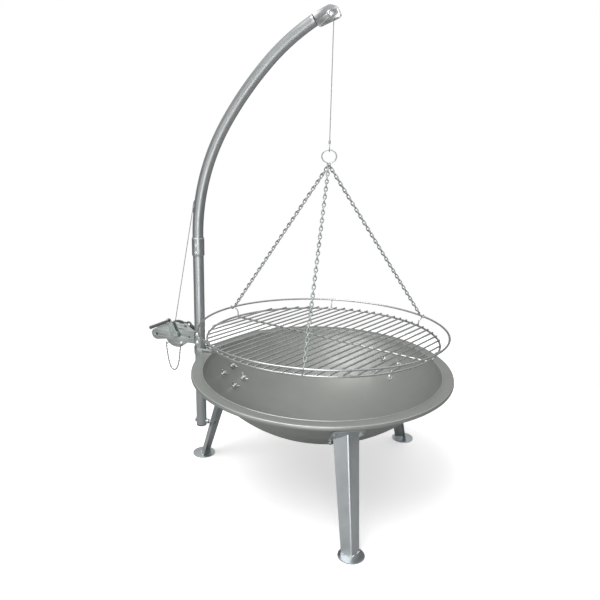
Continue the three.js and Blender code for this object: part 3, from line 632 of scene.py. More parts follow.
def pole_bolt_parts(form):
    """Bolt, washer and nut between the foot of the pole and the ridge of the back leg."""
    left = Vector((POLE_X - TUBE_R - 0.3, 0, POLE_BOLT_Z))
    out = -X_AXIS
    washer(form, left, out, 7.6, 1.2)
    form.nut(left + out * 1.2, out, HEX, 3.8)
    form.turned([(SHANK_R, 0), (SHANK_R, 70)], left, -out, 32)
    form.nut(Vector((POLE_NUT_X, 0, POLE_BOLT_Z)), -out, HEX, 6.5, turn=0.4)
    form.thread(Vector((POLE_NUT_X + 6, 0, POLE_BOLT_Z)), -out, SHANK_R, 0.5, 4.4)


def pole():
    profile = tube_profile(POLE_LOW, POLE_HIGH, TUBE_R, TUBE_R - WALL)
    Form().turned(profile, POLE, sides=96, closed=True).done(
        "pole_tube", "stand", POLE_PAINT, "pole")
    r_in = TUBE_R - WALL - 0.3
    cap = fillet([(0.5, POLE_LOW - 4), (TUBE_R, POLE_LOW - 4), (TUBE_R, POLE_LOW - 0.3), (r_in, POLE_LOW - 0.3),
                  (r_in, POLE_LOW + 5), (0.5, POLE_LOW + 5)], 0.9)
    Form().turned(cap, POLE, sides=64).done("pole_end_cap", "stand", PLASTIC, "pole_cap")
    form = Form()
    pole_bolt_parts(form)
    form.done("pole_foot_bolt", "stand", ZINC, "pole_bolt")
    low, high = span("pole_spacer")
    spacer = Form().turned(sleeve(4.4, 8, 0, high.x - low.x, 0.5), Vector((low.x, 0, POLE_BOLT_Z)), X_AXIS, 48,
                           closed=True)
    spacer.done("pole_foot_spacer", "stand", ZINC, "pole_spacer")


def rim_clamp():
    """An open band round the pole, with a tab that lies on the rim under a wing nut."""
    middle = TUBE_R + 0.3 + CLAMP_SHEET / 2
    rim_x = -RIM_R - 0.6
    tab_x = -CLAMP_BOLT_R + 12
    bend = [Vector((POLE_X + middle * cos(a), middle * sin(a), 0)) for a in sector(90, 270, 40)]
    half = CLAMP_SHEET / 2

    def flange(line, low, high):
        """A strip of sheet standing on edge along a line in plan."""
        section = fillet([(-half, 0), (-half, low), (half, low), (half, high), (-half, high), (-half, 0.01)],
                         0.6, 2)[1:-1]
        rings = []
        for i, point in enumerate(line):
            ahead = (line[min(i + 1, len(line) - 1)] - line[max(i - 1, 0)]).normalized()
            normal = Vector((ahead.y, -ahead.x, 0))
            rings.append([point + normal * a + Vector((0, 0, b)) for a, b in section])
        return rings

    form = Form()
    start, end = Vector((rim_x, middle, 0)), Vector((rim_x, -middle, 0))
    form.skin(flange([start, *bend, end], CLAMP_LOW, CLAMP_HIGH))
    for s in (-1, 1):
        line = [Vector((rim_x - 1, s * middle, 0)), Vector((tab_x, s * middle, 0))]
        form.skin(flange(line, CLAMP_TAB_Z, CLAMP_HIGH))
    x0, x1, w = POLE_X + TUBE_R + 0.5, tab_x, middle + half
    corners = [(x0, -w), (x1 - 6, -w), (x1, -w + 6), (x1, w - 6), (x1 - 6, w), (x0, w)]
    lift = Matrix.Translation((0, 0, CLAMP_TAB_Z + 1.1))
    form.plate(corners, [round_plate(-CLAMP_BOLT_R, 0, 4.4)], CLAMP_SHEET, lift)
    form.done("rim_clamp_band", "stand", ZINC, "rim_clamp")

    form = Form()
    bolt = Vector((-CLAMP_BOLT_R, 0, 0))
    form.nut(bolt + Z_AXIS * 368.3, Z_AXIS, HEX, 5)
    form.turned([(SHANK_R, 369), (SHANK_R, 380)], bolt, sides=24)
    washer(form, bolt + Z_AXIS * 379.3, Z_AXIS, 8, 1.1)
    wing_nut(form, bolt + Z_AXIS * 380.5, Z_AXIS, polar(1, 38, 0))
    form.thread(bolt, Z_AXIS, STUD_R, 389.2, 393.4)
    form.done("rim_clamp_wing_bolt", "stand", POLISHED, "rim_clamp_bolt")


# ---- arm ----
def arm_line(offset=0.0, step=8.0):
    """The arm's centre line, or one beside it towards the outside of its bends."""
    heights = [ARM_LOW, ARM_LOW + 8, ARM_LOW + 16, 722, *(SOCKET_TOP + (BEND_Z - SOCKET_TOP) * i / 8
                                                         for i in range(9))]
    line = [Vector((POLE_X - offset, 0, z)) for z in heights]
    angle, x, z = 90.0, POLE_X, BEND_Z
    for radius, to in BENDS:
        centre = Vector((x + radius * sin(radians(angle)), 0, z - radius * cos(radians(angle))))
        steps = ceil(radians(angle - to) * radius / step)
        line += arc(centre, radius + offset, angle + 90, to + 90, steps)[1:]
        tip = centre + Vector((cos(radians(to + 90)), 0, sin(radians(to + 90)))) * radius
        angle, x, z = to, tip.x, tip.z
    return line


def lean_at(z):
    return asin((z - BEND_Z) / BENDS[0][0])


def wall_x(z):
    """Outer side of the first bend at a height."""
    return POLE_X + BENDS[0][0] * (1 - cos(lean_at(z))) - TUBE_R


def swell(z):
    """How far the lower end of the arm is widened, from 0 to 1, into the socket that slips over the pole."""
    t = min(1, max(0, (BEND_Z - z) / (BEND_Z - SOCKET_TOP)))
    return sqrt(t * (2 - t))


def arm_skin(form):
    line = arm_line()
    outer, inner = [], []
    for point, (_, side, other) in zip(line, frames(line)):
        grow = swell(point.z) * (SOCKET_R - TUBE_R)
        for rings, radius in ((outer, TUBE_R + grow), (inner, TUBE_R - WALL + grow * 1.1)):
            rings.append([point + side * a + other * b for a, b in circle(radius, 72)])
    soft = [[p.lerp(q, 0.15) for p, q in zip(outer[i], inner[i])] for i in (0, -1)]
    down = (line[0] - line[1]).normalized() * 0.3
    ahead = (line[-1] - line[-2]).normalized() * 0.3
    rings = [[p + down for p in soft[0]], *outer, [p + ahead for p in soft[1]], *reversed(inner)]
    form.skin(rings, round_v=True)


def arm():
    form = Form()
    arm_skin(form)
    body = form.piece("arm_tube", POLE_PAINT, sharp=50)
    slot_z = (SLOT_LOW + SLOT_HIGH) / 2
    hole = Form()
    ring = [(SLOT_W * cos(a), (SLOT_HIGH - SLOT_LOW) / 2 * sin(a)) for a in around(48)]
    hole.skin([[Vector((wall_x(slot_z) + x, y, slot_z + z)) for y, z in ring] for x in (-8, 8)])
    tool = hole.piece("slot_tool", POLE_PAINT)
    cut = body.modifiers.new("slot", "BOOLEAN")
    cut.object = tool
    cut.solver = "EXACT"
    bpy.context.view_layer.update()
    mesh = bpy.data.meshes.new_from_object(body.evaluated_get(bpy.context.evaluated_depsgraph_get()))
    mesh.name = "arm_tube"
    body.modifiers.clear()
    body.data = mesh
    bpy.data.objects.remove(tool)
    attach(body, "stand")
    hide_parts("arm")

    wire = 1.2
    r = SLOT_W + 1.4
    tall = (slot_z - SLOT_LOW) / r
    lean = Matrix.Rotation(lean_at(slot_z), 3, "Y")
    centre = Vector((wall_x(slot_z) - wire - 0.6, 0, slot_z))
    lip = [centre + lean @ Vector((0, r * cos(a), r * tall * sin(a))) for a in around(72)]
    Form().loop(lip, wire, 16).done("rope_slot_lip", "stand", PLASTIC, "rope_grommet")

    direction = polar(1, SCREW_AZIMUTH, 0)
    for n, z in enumerate(SCREW_Z):
        head = Form()
        seat = Vector((POLE_X, 0, z)) + direction * (SOCKET_R + 0.3)
        head.turned(fillet([(0.4, 0), (5.0, 0), (4.6, 1.7), (2.6, 2.6), (2.1, 1.4), (0.4, 1.3)], 0.5), seat,
                    direction, 40)
        head.turned([(2.4, -7), (2.4, 0.2)], seat, direction, 20)
        head.done(f"socket_screw_{n + 1}_head", "stand", POLISHED, f"socket_screw_{n + 1}")


# ---- clevis and pulley ----
def clevis():
    """Two bright plates, u along the clevis from the pulley bolt and w across it."""
    back = CLEVIS_BACK
    low, high = CLEVIS_STEM

    def corner(radius, u, w, start):
        return [(u + radius * cos(a), w + radius * sin(a)) for a in sector(start, start + 90, 24)]

    heel = corner(CLEVIS_CORNER_R, CLEVIS_TIP - CLEVIS_CORNER_R, CLEVIS_LOW + CLEVIS_CORNER_R, -90)
    nose = corner(CLEVIS_NOSE_R, CLEVIS_TIP - CLEVIS_NOSE_R, CLEVIS_TOP - CLEVIS_NOSE_R, 0)
    outline = [(-back - 24, low), (-back + 1, low), (-back + 3.75, CLEVIS_LOW + 2), *heel, *nose,
               (-back - 1, CLEVIS_TOP), (-back, high), (-back - 24, high)]
    tilt = Matrix.Translation(PULLEY) @ Matrix.Rotation(-radians(CLEVIS_TILT), 4, "Y")
    form = Form()
    for s in (-1, 1):
        centre = Matrix.Translation((0, s * (CLEVIS_IN + CLEVIS_SHEET / 2), 0))
        form.plate(outline, [round_plate(0, 0, 4.4)], CLEVIS_SHEET, tilt @ centre @ UPRIGHT, edge=0.5)
    form.done("clevis_plates", "stand", PLATING, "clevis", sharp=30)
    bridge = Form()
    block = [(-back - 22, high - 3), (-back - 4, high - 3), (-back - 4, high), (-back - 22, high)]
    bridge.plate(block, [], 2 * CLEVIS_IN, tilt @ UPRIGHT, edge=0.4)
    bridge.done("clevis_bridge", "stand", PLATING)


def pulley():
    groove = ROPE_WRAP_R - ROPE_R - 0.1
    half, rim = 5, 15
    hollow = [(groove + 1.7 * (1 - cos(a)), 1.6 * sin(a)) for a in sector(-60, 60, 4)]
    bore, web = 4.35, 4.1
    profile = fillet([(bore, 0.01), (bore, -half), (9, -half), (9.6, -web), (12.6, -web), (13.2, -half),
                      (rim, -half), (rim, -3.7)], 0.4)
    profile += hollow + fillet([(rim, 3.7), (rim, half), (13.2, half), (12.6, web), (9.6, web), (9, half),
                                (bore, half), (bore, 0.02)], 0.4)
    Form().turned(profile, PULLEY, Y_AXIS, 96, closed=True).done(
        "pulley_sheave", "pulley", PLATING, "pulley_wheel")

    out = CLEVIS_IN + CLEVIS_SHEET + 0.3
    bolt = Form()
    bolt.turned([(SHANK_R, -out - 7), (SHANK_R, out + 1)], PULLEY, Y_AXIS, 32)
    bolt.thread(PULLEY, -Y_AXIS, SHANK_R, out + 6.4, 18.4)
    bolt.nut(PULLEY + Y_AXIS * out, Y_AXIS, 12.4, 4.5)
    bolt.done("pulley_bolt_body", "stand", PLATING, "pulley_bolt")
    nut = Form()
    nut.turned(sleeve(4.9, 8.2, 0, 0.9, 0.3), PULLEY - Y_AXIS * out, -Y_AXIS, 48, closed=True)
    nut.nut(PULLEY - Y_AXIS * (out + 0.9), -Y_AXIS, HEX, 5.6, bore=4.1, turn=0.25)
    nut.done("pulley_lock_nut", "stand", PLATING, "pulley_nut")


# ---- rope ----
STRANDS, LAY = 6, 9.0


def strand_section(radius, sides=24):
    """A round rope's section with a groove between each two strands."""
    points = []
    for a in around(sides):
        r = radius * (0.84 + 0.16 * abs(cos(STRANDS * a / 2)) ** 0.7)
        points.append((r * cos(a), r * sin(a)))
    return points


def respaced(points, step):
    """Points at an even spacing along a line."""
    lengths = [0.0]
    for a, b in zip(points, points[1:]):
        lengths.append(lengths[-1] + (b - a).length)
    count = max(2, ceil(lengths[-1] / step))
    result, k = [], 0
    for i in range(count + 1):
        want = lengths[-1] * i / count
        while k < len(points) - 2 and lengths[k + 1] < want:
            k += 1
        part = (want - lengths[k]) / max(1e-9, lengths[k + 1] - lengths[k])
        result.append(points[k].lerp(points[k + 1], part))
    return result


def twisted_rope(form, points, step=1.1, radius=ROPE_R, sides=24):
    line = respaced(points, step)
    form.sweep(line, strand_section(radius, sides), turn=lambda i: 2 * pi * i * step / LAY)


def rope_route():
    """From the drum's outer side up into the arm, along the inside of its bends and over the pulley."""
    hole = Vector((wall_x(SLOT_LOW) - 5.45, 0, SLOT_LOW))
    away = hole - WINCH
    touch = atan2(away.z, away.x) + acos(DRUM_WRAP_R / away.length)
    start = WINCH + Vector((cos(touch), 0, sin(touch))) * DRUM_WRAP_R
    # it touches the inner wall above inside_from, and leaves the last bend for the pulley at the angle leave
    inside_from, bend_from, leave = 1010, 1200, 40
    inner = arm_line(-(TUBE_R - WALL - ROPE_R - 1.3), 12)
    tip = arm_line(0, 12)[-1]
    radius, to = BENDS[-1]
    centre = tip + Vector((sin(radians(to)), 0, -cos(radians(to)))) * radius
    along = [p for p in inner if p.z > inside_from
             and (p.z < bend_from or atan2(p.z - centre.z, p.x - centre.x) > radians(90 + leave))]
    return [start, hole, *along, *arc(PULLEY, ROPE_WRAP_R, 90 + leave, 0, 24)]


def rope():
    form = Form()
    twisted_rope(form, rope_route())
    form.done("rope_to_pulley", "stand", ROPE, "rope_run", sharp=75)

    low, top = (corner.z for corner in span("rope_drop"))
    form = Form()
    twisted_rope(form, [Vector((0, 0, low)), Vector((0, 0, top))])
    drop = form.piece("rope_hanging", ROPE, sharp=75)
    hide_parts("rope_drop")
    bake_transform(drop)

    ring_top = RING_Z + RING_HIGH
    pressed = fillet([(0.4, 15.3), (2.5, 15.3), (2.9, 16.6), (2.55, 18.2), (2.9, 20), (2.55, 21.8), (2.9, 23.6),
                      (2.6, 26.4), (0.4, 27)], 0.8)
    Form().turned(pressed, Z_AXIS * ring_top, sides=32).done(
        "rope_ferrule", "lift", ROPE, "rope_crimp", sharp=70)

    form = Form()
    centre = Z_AXIS * (ring_top + 3.7)
    across = polar(1, RING_TURN + 90, 0)
    eye = [centre + across * 4.4 * cos(a) * (1 - 0.55 * max(0, sin(a)) ** 3) + Z_AXIS * 8.8 * sin(a)
           for a in sector(90, 450, 48)]
    eye_line = respaced(eye[:-1] + [eye[0]], 0.9)[:-1]
    section = strand_section(ROPE_R, 18)
    form.sweep(eye_line, section, closed=True, turn=lambda i: 2 * pi * round(len(eye_line) * 0.9 / LAY) * i
               / len(eye_line))
    form.done("rope_eye_loop", "hanging_grate", ROPE, "rope_eye", sharp=70)

    form = Form()
    turns, rise = 5, 2.56
    start_y = -DRUM_HALF + 1.6
    for layer, radius in ((0, 15.3), (1, DRUM_WRAP_R)):
        wound = []
        count = (turns - 2 * layer) * 48
        for i in range(count + 1):
            a = 2 * pi * i / 48
            y = start_y + (layer * 1.3) + rise * a / (2 * pi)
            wound.append(WINCH + Vector((radius * cos(a), y, radius * sin(a))))
        twisted_rope(form, wound, 1.4, sides=18)
    form.done("rope_on_drum", "winch_crank", ROPE, "rope_winding", sharp=75)


# ---- winch ----
def at_winch(u, w, y=0.0):
    return WINCH + Vector((u, y, w))


def ray_disc(angle, u, w, radius):
    """How far a ray from the drum's axis runs before it leaves a disc, or 0."""
    c, s = cos(angle), sin(angle)
    along = u * c + w * s
    across = u * s - w * c
    return along + sqrt(radius ** 2 - across ** 2) if abs(across) < radius else 0.0


def ray_polygon(angle, corners):
    """The same for a polygon."""
    c, s = cos(angle), sin(angle)
    best = 0.0
    for (u0, w0), (u1, w1) in zip(corners, corners[1:] + corners[:1]):
        du, dw = u1 - u0, w1 - w0
        det = c * -dw + s * du
        if abs(det) < 1e-9:
            continue
        reach = (u0 * -dw + w0 * du) / det
        part = (c * w0 - s * u0) / det
        if 0 <= part <= 1:
            best = max(best, reach)
    return best


def cheek_outline():
    """The cheek's outline: a disc, a lobe away from the pole, a neck to the pole and a bump on it."""
    low, high = WINCH_LOW - WINCH.z, WINCH_HIGH - WINCH.z
    neck_end = POLE_X - 10 - WINCH.x
    lobe = [(LOBE_U - 2, LOBE_W + LOBE_R), (LOBE_U, LOBE_W - LOBE_R), (-36, -20), (0, 0), (-28, 34)]
    neck = [(0, 0), (20, low), (neck_end, low), (neck_end, high), (42, 36), (20, 40)]
    outline = []
    for a in around(720):
        r = max(ray_disc(a, 0, 0, CHEEK_R), ray_disc(a, LOBE_U, LOBE_W, LOBE_R),
                ray_disc(a, BUMP_U, BUMP_W, BUMP_R), ray_polygon(a, lobe), ray_polygon(a, neck))
        outline.append((r * cos(a), r * sin(a)))
    return outline


def winch_frame():
    holes = [(LOBE_U, LOBE_W, 4.5), (RIVET_U, RIVET_W, 3.3), (PIN_U, PIN_W, 3.4), (BUMP_U, BUMP_W, 4),
             (14.6, 21.7, 3), (46, -3, 3), (0, 0, AXLE_R + 0.5)]
    loops = [round_plate(u, w, r) for u, w, r in holes]
    outline = cheek_outline()
    thick = CHEEK_OUT - CHEEK_IN
    form = Form()
    for s in (-1, 1):
        middle = Matrix.Translation(WINCH + Y_AXIS * s * (CHEEK_IN + thick / 2))
        form.plate(outline, loops, thick, middle @ UPRIGHT, edge=0.5)
    form.turned([(6.6, -CHEEK_IN - 0.5), (6.6, CHEEK_IN + 0.5), (4.6, CHEEK_IN + 0.5), (4.6, -CHEEK_IN - 0.5)],
                at_winch(LOBE_U, LOBE_W), Y_AXIS, 48, closed=True)
    for s in (-1, 1):
        rim = [(AXLE_R + 0.4, CHEEK_OUT - 0.2), (AXLE_R + 0.4, CHEEK_OUT + 1.4), (9.5, CHEEK_OUT + 1.4),
               (10.5, CHEEK_OUT - 0.2)]
        form.turned(fillet([*rim, rim[0]], 0.5)[1:], WINCH, Y_AXIS * s, 48, closed=True)
    form.done("winch_cheeks", "stand", ZINC, "winch_frame", sharp=32)

    inner, outer = TUBE_R + 0.35, TUBE_R + 2.8
    section = fillet([(inner, WINCH_LOW), (outer, WINCH_LOW), (outer, WINCH_HIGH), (inner, WINCH_HIGH),
                      (inner, WINCH_LOW + 0.01)], 0.5, 2)[1:]
    Form().skin([[Vector((POLE_X + r * cos(a), r * sin(a), z)) for r, z in section]
                 for a in sector(66, 294, 60)]).done("winch_saddle", "stand", ZINC)


def winch_fittings():
    seat = TUBE_R + 3.1
    middle = (WINCH_LOW + WINCH_HIGH) / 2
    for n, d in enumerate((-13.5, 13.5)):
        bolt = Vector((POLE_X, 0, middle + d))
        form = Form()
        form.turned([(SHANK_R, -seat - 0.5), (SHANK_R, seat + 5)], bolt, Y_AXIS, 32)
        dome = [(0.4, 0), (7.2, 0), (7.0, 0.8), (5.6, 2.3), (3.2, 3.0), (0.4, 3.1)]
        form.turned(fillet(dome, 0.8), bolt - Y_AXIS * seat, -Y_AXIS, 48)
        form.nut(bolt + Y_AXIS * seat, Y_AXIS, 12.8, 6.3, bore=3.8, turn=0.3 + n)
        form.done(f"winch_saddle_bolt_{n + 1}", "stand", POLISHED, f"winch_bolt_{n + 1}")

    form = Form()
    form.turned([(2.8, -14), (2.8, 14)], at_winch(RIVET_U, RIVET_W), Y_AXIS, 32)
    for s in (-1, 1):
        dome = fillet([(0.4, 0), (5, 0), (4.6, 1.2), (2.6, 2.3), (0.4, 2.5)], 0.6)
        form.turned(dome, at_winch(RIVET_U, RIVET_W, s * (CHEEK_OUT + 0.3)), Y_AXIS * s, 40)
    form.done("retainer_rivet", "stand", POLISHED, "chain_rivet")

    form = Form()
    shank = fillet([(0.4, 17), (2.4, 17), (3, 15.6), (3, -13.6), (0.4, -13.6)], 0.6)
    form.turned(shank, at_winch(PIN_U, PIN_W), Y_AXIS, 32)
    head = fillet([(0.4, 0), (5.9, 0), (6, 1.0), (5.6, 3.2), (3.6, 4.1), (0.4, 4.2)], 0.6)
    form.turned(head, at_winch(PIN_U, PIN_W, -CHEEK_OUT - 0.3), -Y_AXIS, 40)
    form.done("lock_pin_body", "pin", PLATING, "lock_pin")


def drum():
    form = Form()
    half = DRUM_HALF
    spool = [(0.4, -half - 2), (DRUM_FLANGE, -half - 2), (DRUM_FLANGE, -half), (DRUM_HUB, -half),
             (DRUM_HUB, half), (DRUM_FLANGE, half), (DRUM_FLANGE, half + 2), (0.4, half + 2)]
    form.turned(fillet(spool, 0.5), WINCH, Y_AXIS, 72)
    tip = CRANK_Y - CRANK_SHEET - 1.5
    form.turned(fillet([(0.4, tip), (AXLE_R, tip), (AXLE_R, 16.5), (0.4, 16.5)], 0.6), WINCH, Y_AXIS, 48)
    form.done("winch_spool", "winch_crank", ZINC, "winch_drum")


GRIP_RIBS = 9
GRIP_DIR = Vector((cos(radians(GRIP_SLOPE)), 0, sin(radians(GRIP_SLOPE))))
GRIP_HINGE = Vector((GRIP_DIR.z, 0, -GRIP_DIR.x))
GRIP_BASE = Vector((WINCH.x + CRANK_U, GRIP_Y, WINCH.z + CRANK_W))
GRIP_BASIS = Matrix((GRIP_DIR, Y_AXIS, GRIP_HINGE)).transposed().to_4x4()


def crank():
    """The cranked lever on the axle with two ears, the folding grip and its rivet."""
    length = hypot(CRANK_U, CRANK_W)
    half, hub = CRANK_HALF, 11
    lean = asin((hub - half) / length)
    turned = pi + 2 * lean
    hub_arc = [(hub * cos(a), hub * sin(a)) for a in (radians(90) - lean + turned * i / 40 for i in range(41))]
    end_arc = [(length + half * cos(a), half * sin(a)) for a in
               (radians(-90) - lean + turned * i / 24 for i in range(25))]
    turn = Matrix.Rotation(-atan2(CRANK_W, CRANK_U), 4, "Y")
    place = Matrix.Translation(WINCH + Y_AXIS * (CRANK_Y - CRANK_SHEET / 2)) @ turn @ UPRIGHT
    form = Form()
    form.plate(hub_arc + end_arc, [round_plate(0, 0, AXLE_R + 0.3)], CRANK_SHEET, place, edge=0.5)
    for s in (-1, 1):
        form.turned(sleeve(2.4, 5, 0, 2.4, 0.4), GRIP_BASE + GRIP_HINGE * (s * GRIP_EAR - 1.2), GRIP_HINGE, 40,
                    closed=True)
        foot = [(-5, -4), (5, -4), (5, 4), (-5, 4)]
        centre = GRIP_BASE + GRIP_HINGE * s * GRIP_EAR
        centre.y = CRANK_Y - CRANK_SHEET - 3.5
        form.plate(foot, [], 2.4, Matrix.Translation(centre) @ GRIP_BASIS, edge=0.3)
    form.done("crank_lever", "winch_crank", ZINC, "crank_arm", sharp=32)

    nut = Form()
    nut.nut(WINCH + Y_AXIS * (CRANK_Y - CRANK_SHEET - 0.1), -Y_AXIS, 12.4, 1.5, bore=4.6)
    nut.done("crank_axle_ring", "winch_crank", ZINC)

    profile = [(0.4, 8), (4.6, 8), (5.2, 9.5)]
    for i in range(GRIP_RIBS):
        a = 13 + i * 6.2
        b = a + 4.2
        profile += [(5.5, a - 0.8), (5.5, a - 0.2), (4.4, a + 0.6), (4.3, b - 1.6), (5.5, b - 0.2)]
    profile += [(5.5, 70.5), (5.3, 72.6), (4.2, GRIP_LENGTH), (0.4, GRIP_LENGTH)]
    grip = Form()
    grip.turned(fillet(profile, 0.4, 2), GRIP_BASE, GRIP_DIR, 40)
    grip.turned(sleeve(2.4, 4.6, -3.2, 3.2, 0.5), GRIP_BASE, GRIP_HINGE, 40, closed=True)
    neck = [(3.4, -2.8), (11, -2.8), (11, 2.8), (3.4, 2.8)]
    grip.plate(neck, [], 5.6, Matrix.Translation(GRIP_BASE) @ GRIP_BASIS, edge=0.8)
    grip.done("crank_grip_ribbed", "grip", PLASTIC, "crank_grip", sharp=50)

    rivet = Form()
    rivet.turned([(2, -7), (2, 7)], GRIP_BASE, GRIP_HINGE, 24)
    for s in (-1, 1):
        dome = fillet([(0.3, 0), (3.6, 0), (3.1, 1.1), (0.3, 1.7)], 0.5)
        rivet.turned(dome, GRIP_BASE + GRIP_HINGE * s * 6.3, GRIP_HINGE * s, 32)
    rivet.done("grip_hinge_rivet", "winch_crank", ZINC, "grip_rivet")


# ---- chains ----
def link(form, centre, along, across, pitch, wire, half_width, twist=0.0, stretch=0.0):
    """One oval link, which can be twisted about its length. stretch lengthens its far end."""
    along = along.normalized()
    across = (across - along * across.dot(along)).normalized()
    other = along.cross(across)
    round_r = half_width - wire
    straight = pitch / 2 + wire - round_r
    points = []
    for end in (1, -1):
        reach = straight + (stretch if end == 1 else 0)
        for a in sector(180 - 90 * end, -90 * end, 8):
            u, v = round_r * cos(a) + end * reach, round_r * sin(a)
            spin = twist * u / (straight + round_r)
            points.append(centre + along * u + (across * cos(spin) + other * sin(spin)) * v)
    form.loop(points, wire, 8)


def catenary(a, b, slack, steps):
    span_x = b.x - a.x
    mid = (a.x + b.x) / 2 - slack * asinh((b.z - a.z) / (2 * slack * sinh(span_x / 2 / slack)))
    base = a.z - slack * cosh((a.x - mid) / slack)
    return [Vector((x, a.y, base + slack * cosh((x - mid) / slack)))
            for x in (a.x + span_x * i / steps for i in range(steps + 1))]


def lock_chain():
    """Fine chain from the rivet to the lock pin, which hangs in a long loop."""
    y = -CHEEK_OUT - 6.4
    start = Vector((WINCH.x + RIVET_U, y, WINCH.z + RIVET_W - 3))
    end = Vector((WINCH.x + PIN_U, y, WINCH.z + PIN_W - 9))
    pitch, slack = 5.2, 8.15
    places = respaced(catenary(start, end, slack, 200), pitch)
    form = Form()
    for i, (a, b) in enumerate(zip(places, places[1:])):
        along = (b - a).normalized()
        flat = along.cross(Y_AXIS).normalized()
        across = (flat + Y_AXIS).normalized() if i % 2 else (flat - Y_AXIS).normalized()
        link(form, (a + b) / 2, along, across, (b - a).length, 0.95, 2.5)
    for spot in (start, end):
        ring = [spot + Vector((2.2 * cos(t), 0, 2.2 + 2.4 * sin(t))) for t in around(24)]
        form.loop(ring, 0.6, 8)
    form.done("lock_chain_links", "stand", DARK_ZINC, "lock_chain", sharp=80)


# ---- hanging gear ----
TIP = Matrix.Translation((0, 0, GRATE_Z)) @ Matrix.Rotation(
    radians(GRATE_TILT), 4, polar(1, HIGH_EDGE - 90, 0))


def hoop(radius, z, steps=192):
    return [TIP @ polar(radius, 360 * i / steps, z) for i in range(steps)]


def lift_ring():
    across = polar(1, RING_TURN, 0)

    def oval(angles):
        return [Vector((0, 0, RING_Z)) + across * RING_R * cos(a) + Z_AXIS * RING_HIGH * sin(a) for a in angles]

    Form().loop(oval(around(96)), RING_WIRE, 20).done(
        "lift_ring_wire", "hanging_grate", ZINC, "lift_ring", sharp=80)
    Form().rod(oval(sector(-20, -10, 2)), RING_WIRE + 0.18, 16).done(
        "lift_ring_weld", "hanging_grate", ZINC, sharp=80)


def grate():
    """A round grate of chromed wire: a hoop, a cross bar under it and parallel bars welded on top."""
    place = TIP @ Matrix.Rotation(radians(GRATE_TURN), 4, "Z")
    form = Form()
    form.loop(hoop(GRATE_R, 0), GRATE_WIRE, 16)
    form.rod([place @ Vector((-GRATE_R, 0, 0)), place @ Vector((GRATE_R, 0, 0))], GRATE_WIRE, 16)
    lift = GRATE_WIRE + BAR_R - 1.2
    beads = Form()
    for i in range(BARS):
        across = (i - (BARS - 1) / 2) * BAR_PITCH
        reach = sqrt((GRATE_R + 1) ** 2 - across ** 2)
        form.rod([place @ Vector((across, reach * (-1 + 2 * t / 10), lift)) for t in range(11)], BAR_R, 14)
        for s in (-1, 1):
            end = Vector((across * (GRATE_R / (GRATE_R + 1)), s * (reach - 1.5), lift - 2.2))
            beads.blob(place @ end, 3.0, 0.8, 0.2)
        beads.blob(place @ Vector((across, 0, lift - 2.4)), 3.1, 0.7, 0.2)
    form.done("grate_wires", "hanging_grate", CHROME, "cooking_grate", sharp=80)
    beads.done("grate_spot_welds", "hanging_grate", CHROME, sharp=80)


def handle_ring():
    form = Form()
    form.loop(hoop(HANDLE_R, HANDLE_LIFT), HANDLE_WIRE, 16)
    for azimuth in STRUT_AT:
        rim = GRATE_R + GRATE_WIRE
        stations = [(rim + 2.4, -2), (rim + 2.5, 4), (rim + 2.7, 10), (GRATE_R + 7.2, 15), (GRATE_R + 11, 20),
                    (GRATE_R + 17, 23.4), (HANDLE_R - 1, HANDLE_LIFT)]
        form.rod([TIP @ polar(r, azimuth, z) for r, z in stations], 2, 12)
        form.blob(TIP @ polar(HANDLE_R - 2, azimuth, HANDLE_LIFT - 0.8), 3.3, 0.9, 0.2)
        form.blob(TIP @ polar(GRATE_R + 3, azimuth, 0), 3.2, 0.9, 0.2)
    form.done("handle_ring_wires", "hanging_grate", CHROME, "handle_ring", sharp=80)


def chains():
    """An open hook on the handle ring and a chain of twisted links, three times."""
    wire, half_width, link_pitch = 1.6, 5.8, 12.4
    for n, name in enumerate(CHAIN_NAMES):
        azimuth = STRUT_AT[2 * n]
        outward = polar(1, azimuth, 0)
        beside = polar(7, azimuth + 90, 0)
        seat = TIP @ (outward * HANDLE_R + beside + Z_AXIS * HANDLE_LIFT)
        apex = outward * CHAIN_TOP_R + Z_AXIS * CHAIN_TOP_Z
        rise = (apex - seat).normalized()
        lean = atan2(rise.z, -hypot(rise.x, rise.y))
        hook_r = HANDLE_WIRE + 2.2
        curl = [seat + outward * hook_r * cos(a) + Z_AXIS * hook_r * sin(a)
                for a in (lean + b for b in sector(290, 90, 24))]
        shank_end = curl[-1] + rise * 16
        side = rise.cross(beside).normalized()
        eye_r = 3.4
        eye_centre = shank_end + rise * eye_r
        eye = [eye_centre + side * eye_r * sin(a) - rise * eye_r * cos(a)
               for a in sector(12, 348, 20)]
        form = Form()
        form.rod(curl + [curl[-1] + rise * 5, curl[-1] + rise * 11, shank_end], 1.5, 14)
        form.rod(eye, 1.5, 14)
        form.done(f"hook_{name}", "hanging_grate", ZINC, f"chain_hook_{name}", sharp=80)

        start = eye_centre + rise * (eye_r - 1.5)
        run = apex + rise * 1.5 - start
        count = round(run.length / link_pitch)
        pitch = run.length / count
        form = Form()
        flat = beside.normalized()
        for i in range(count):
            across = flat if i % 2 == 0 else rise.cross(flat)
            link(form, start + rise * pitch * (i + 0.5), rise, across, pitch, wire, half_width,
                 twist=0.62, stretch=3.0 if i == count - 1 else 0.0)
        form.done(f"chain_links_{name}", "hanging_grate", ZINC, f"chain_{name}", sharp=80)


# ---- stage ----
# WHITE is what the camera sees of the floor, and FLOOR_BOUNCE what lights the object from it
WALL_LIGHT, CEILING_LIGHT, FLOOR_R, FLOOR_BOUNCE, FLOOR_GLOW, WHITE = 0.17, 1.0, 1.5, 0.36, 0.35, 0.92


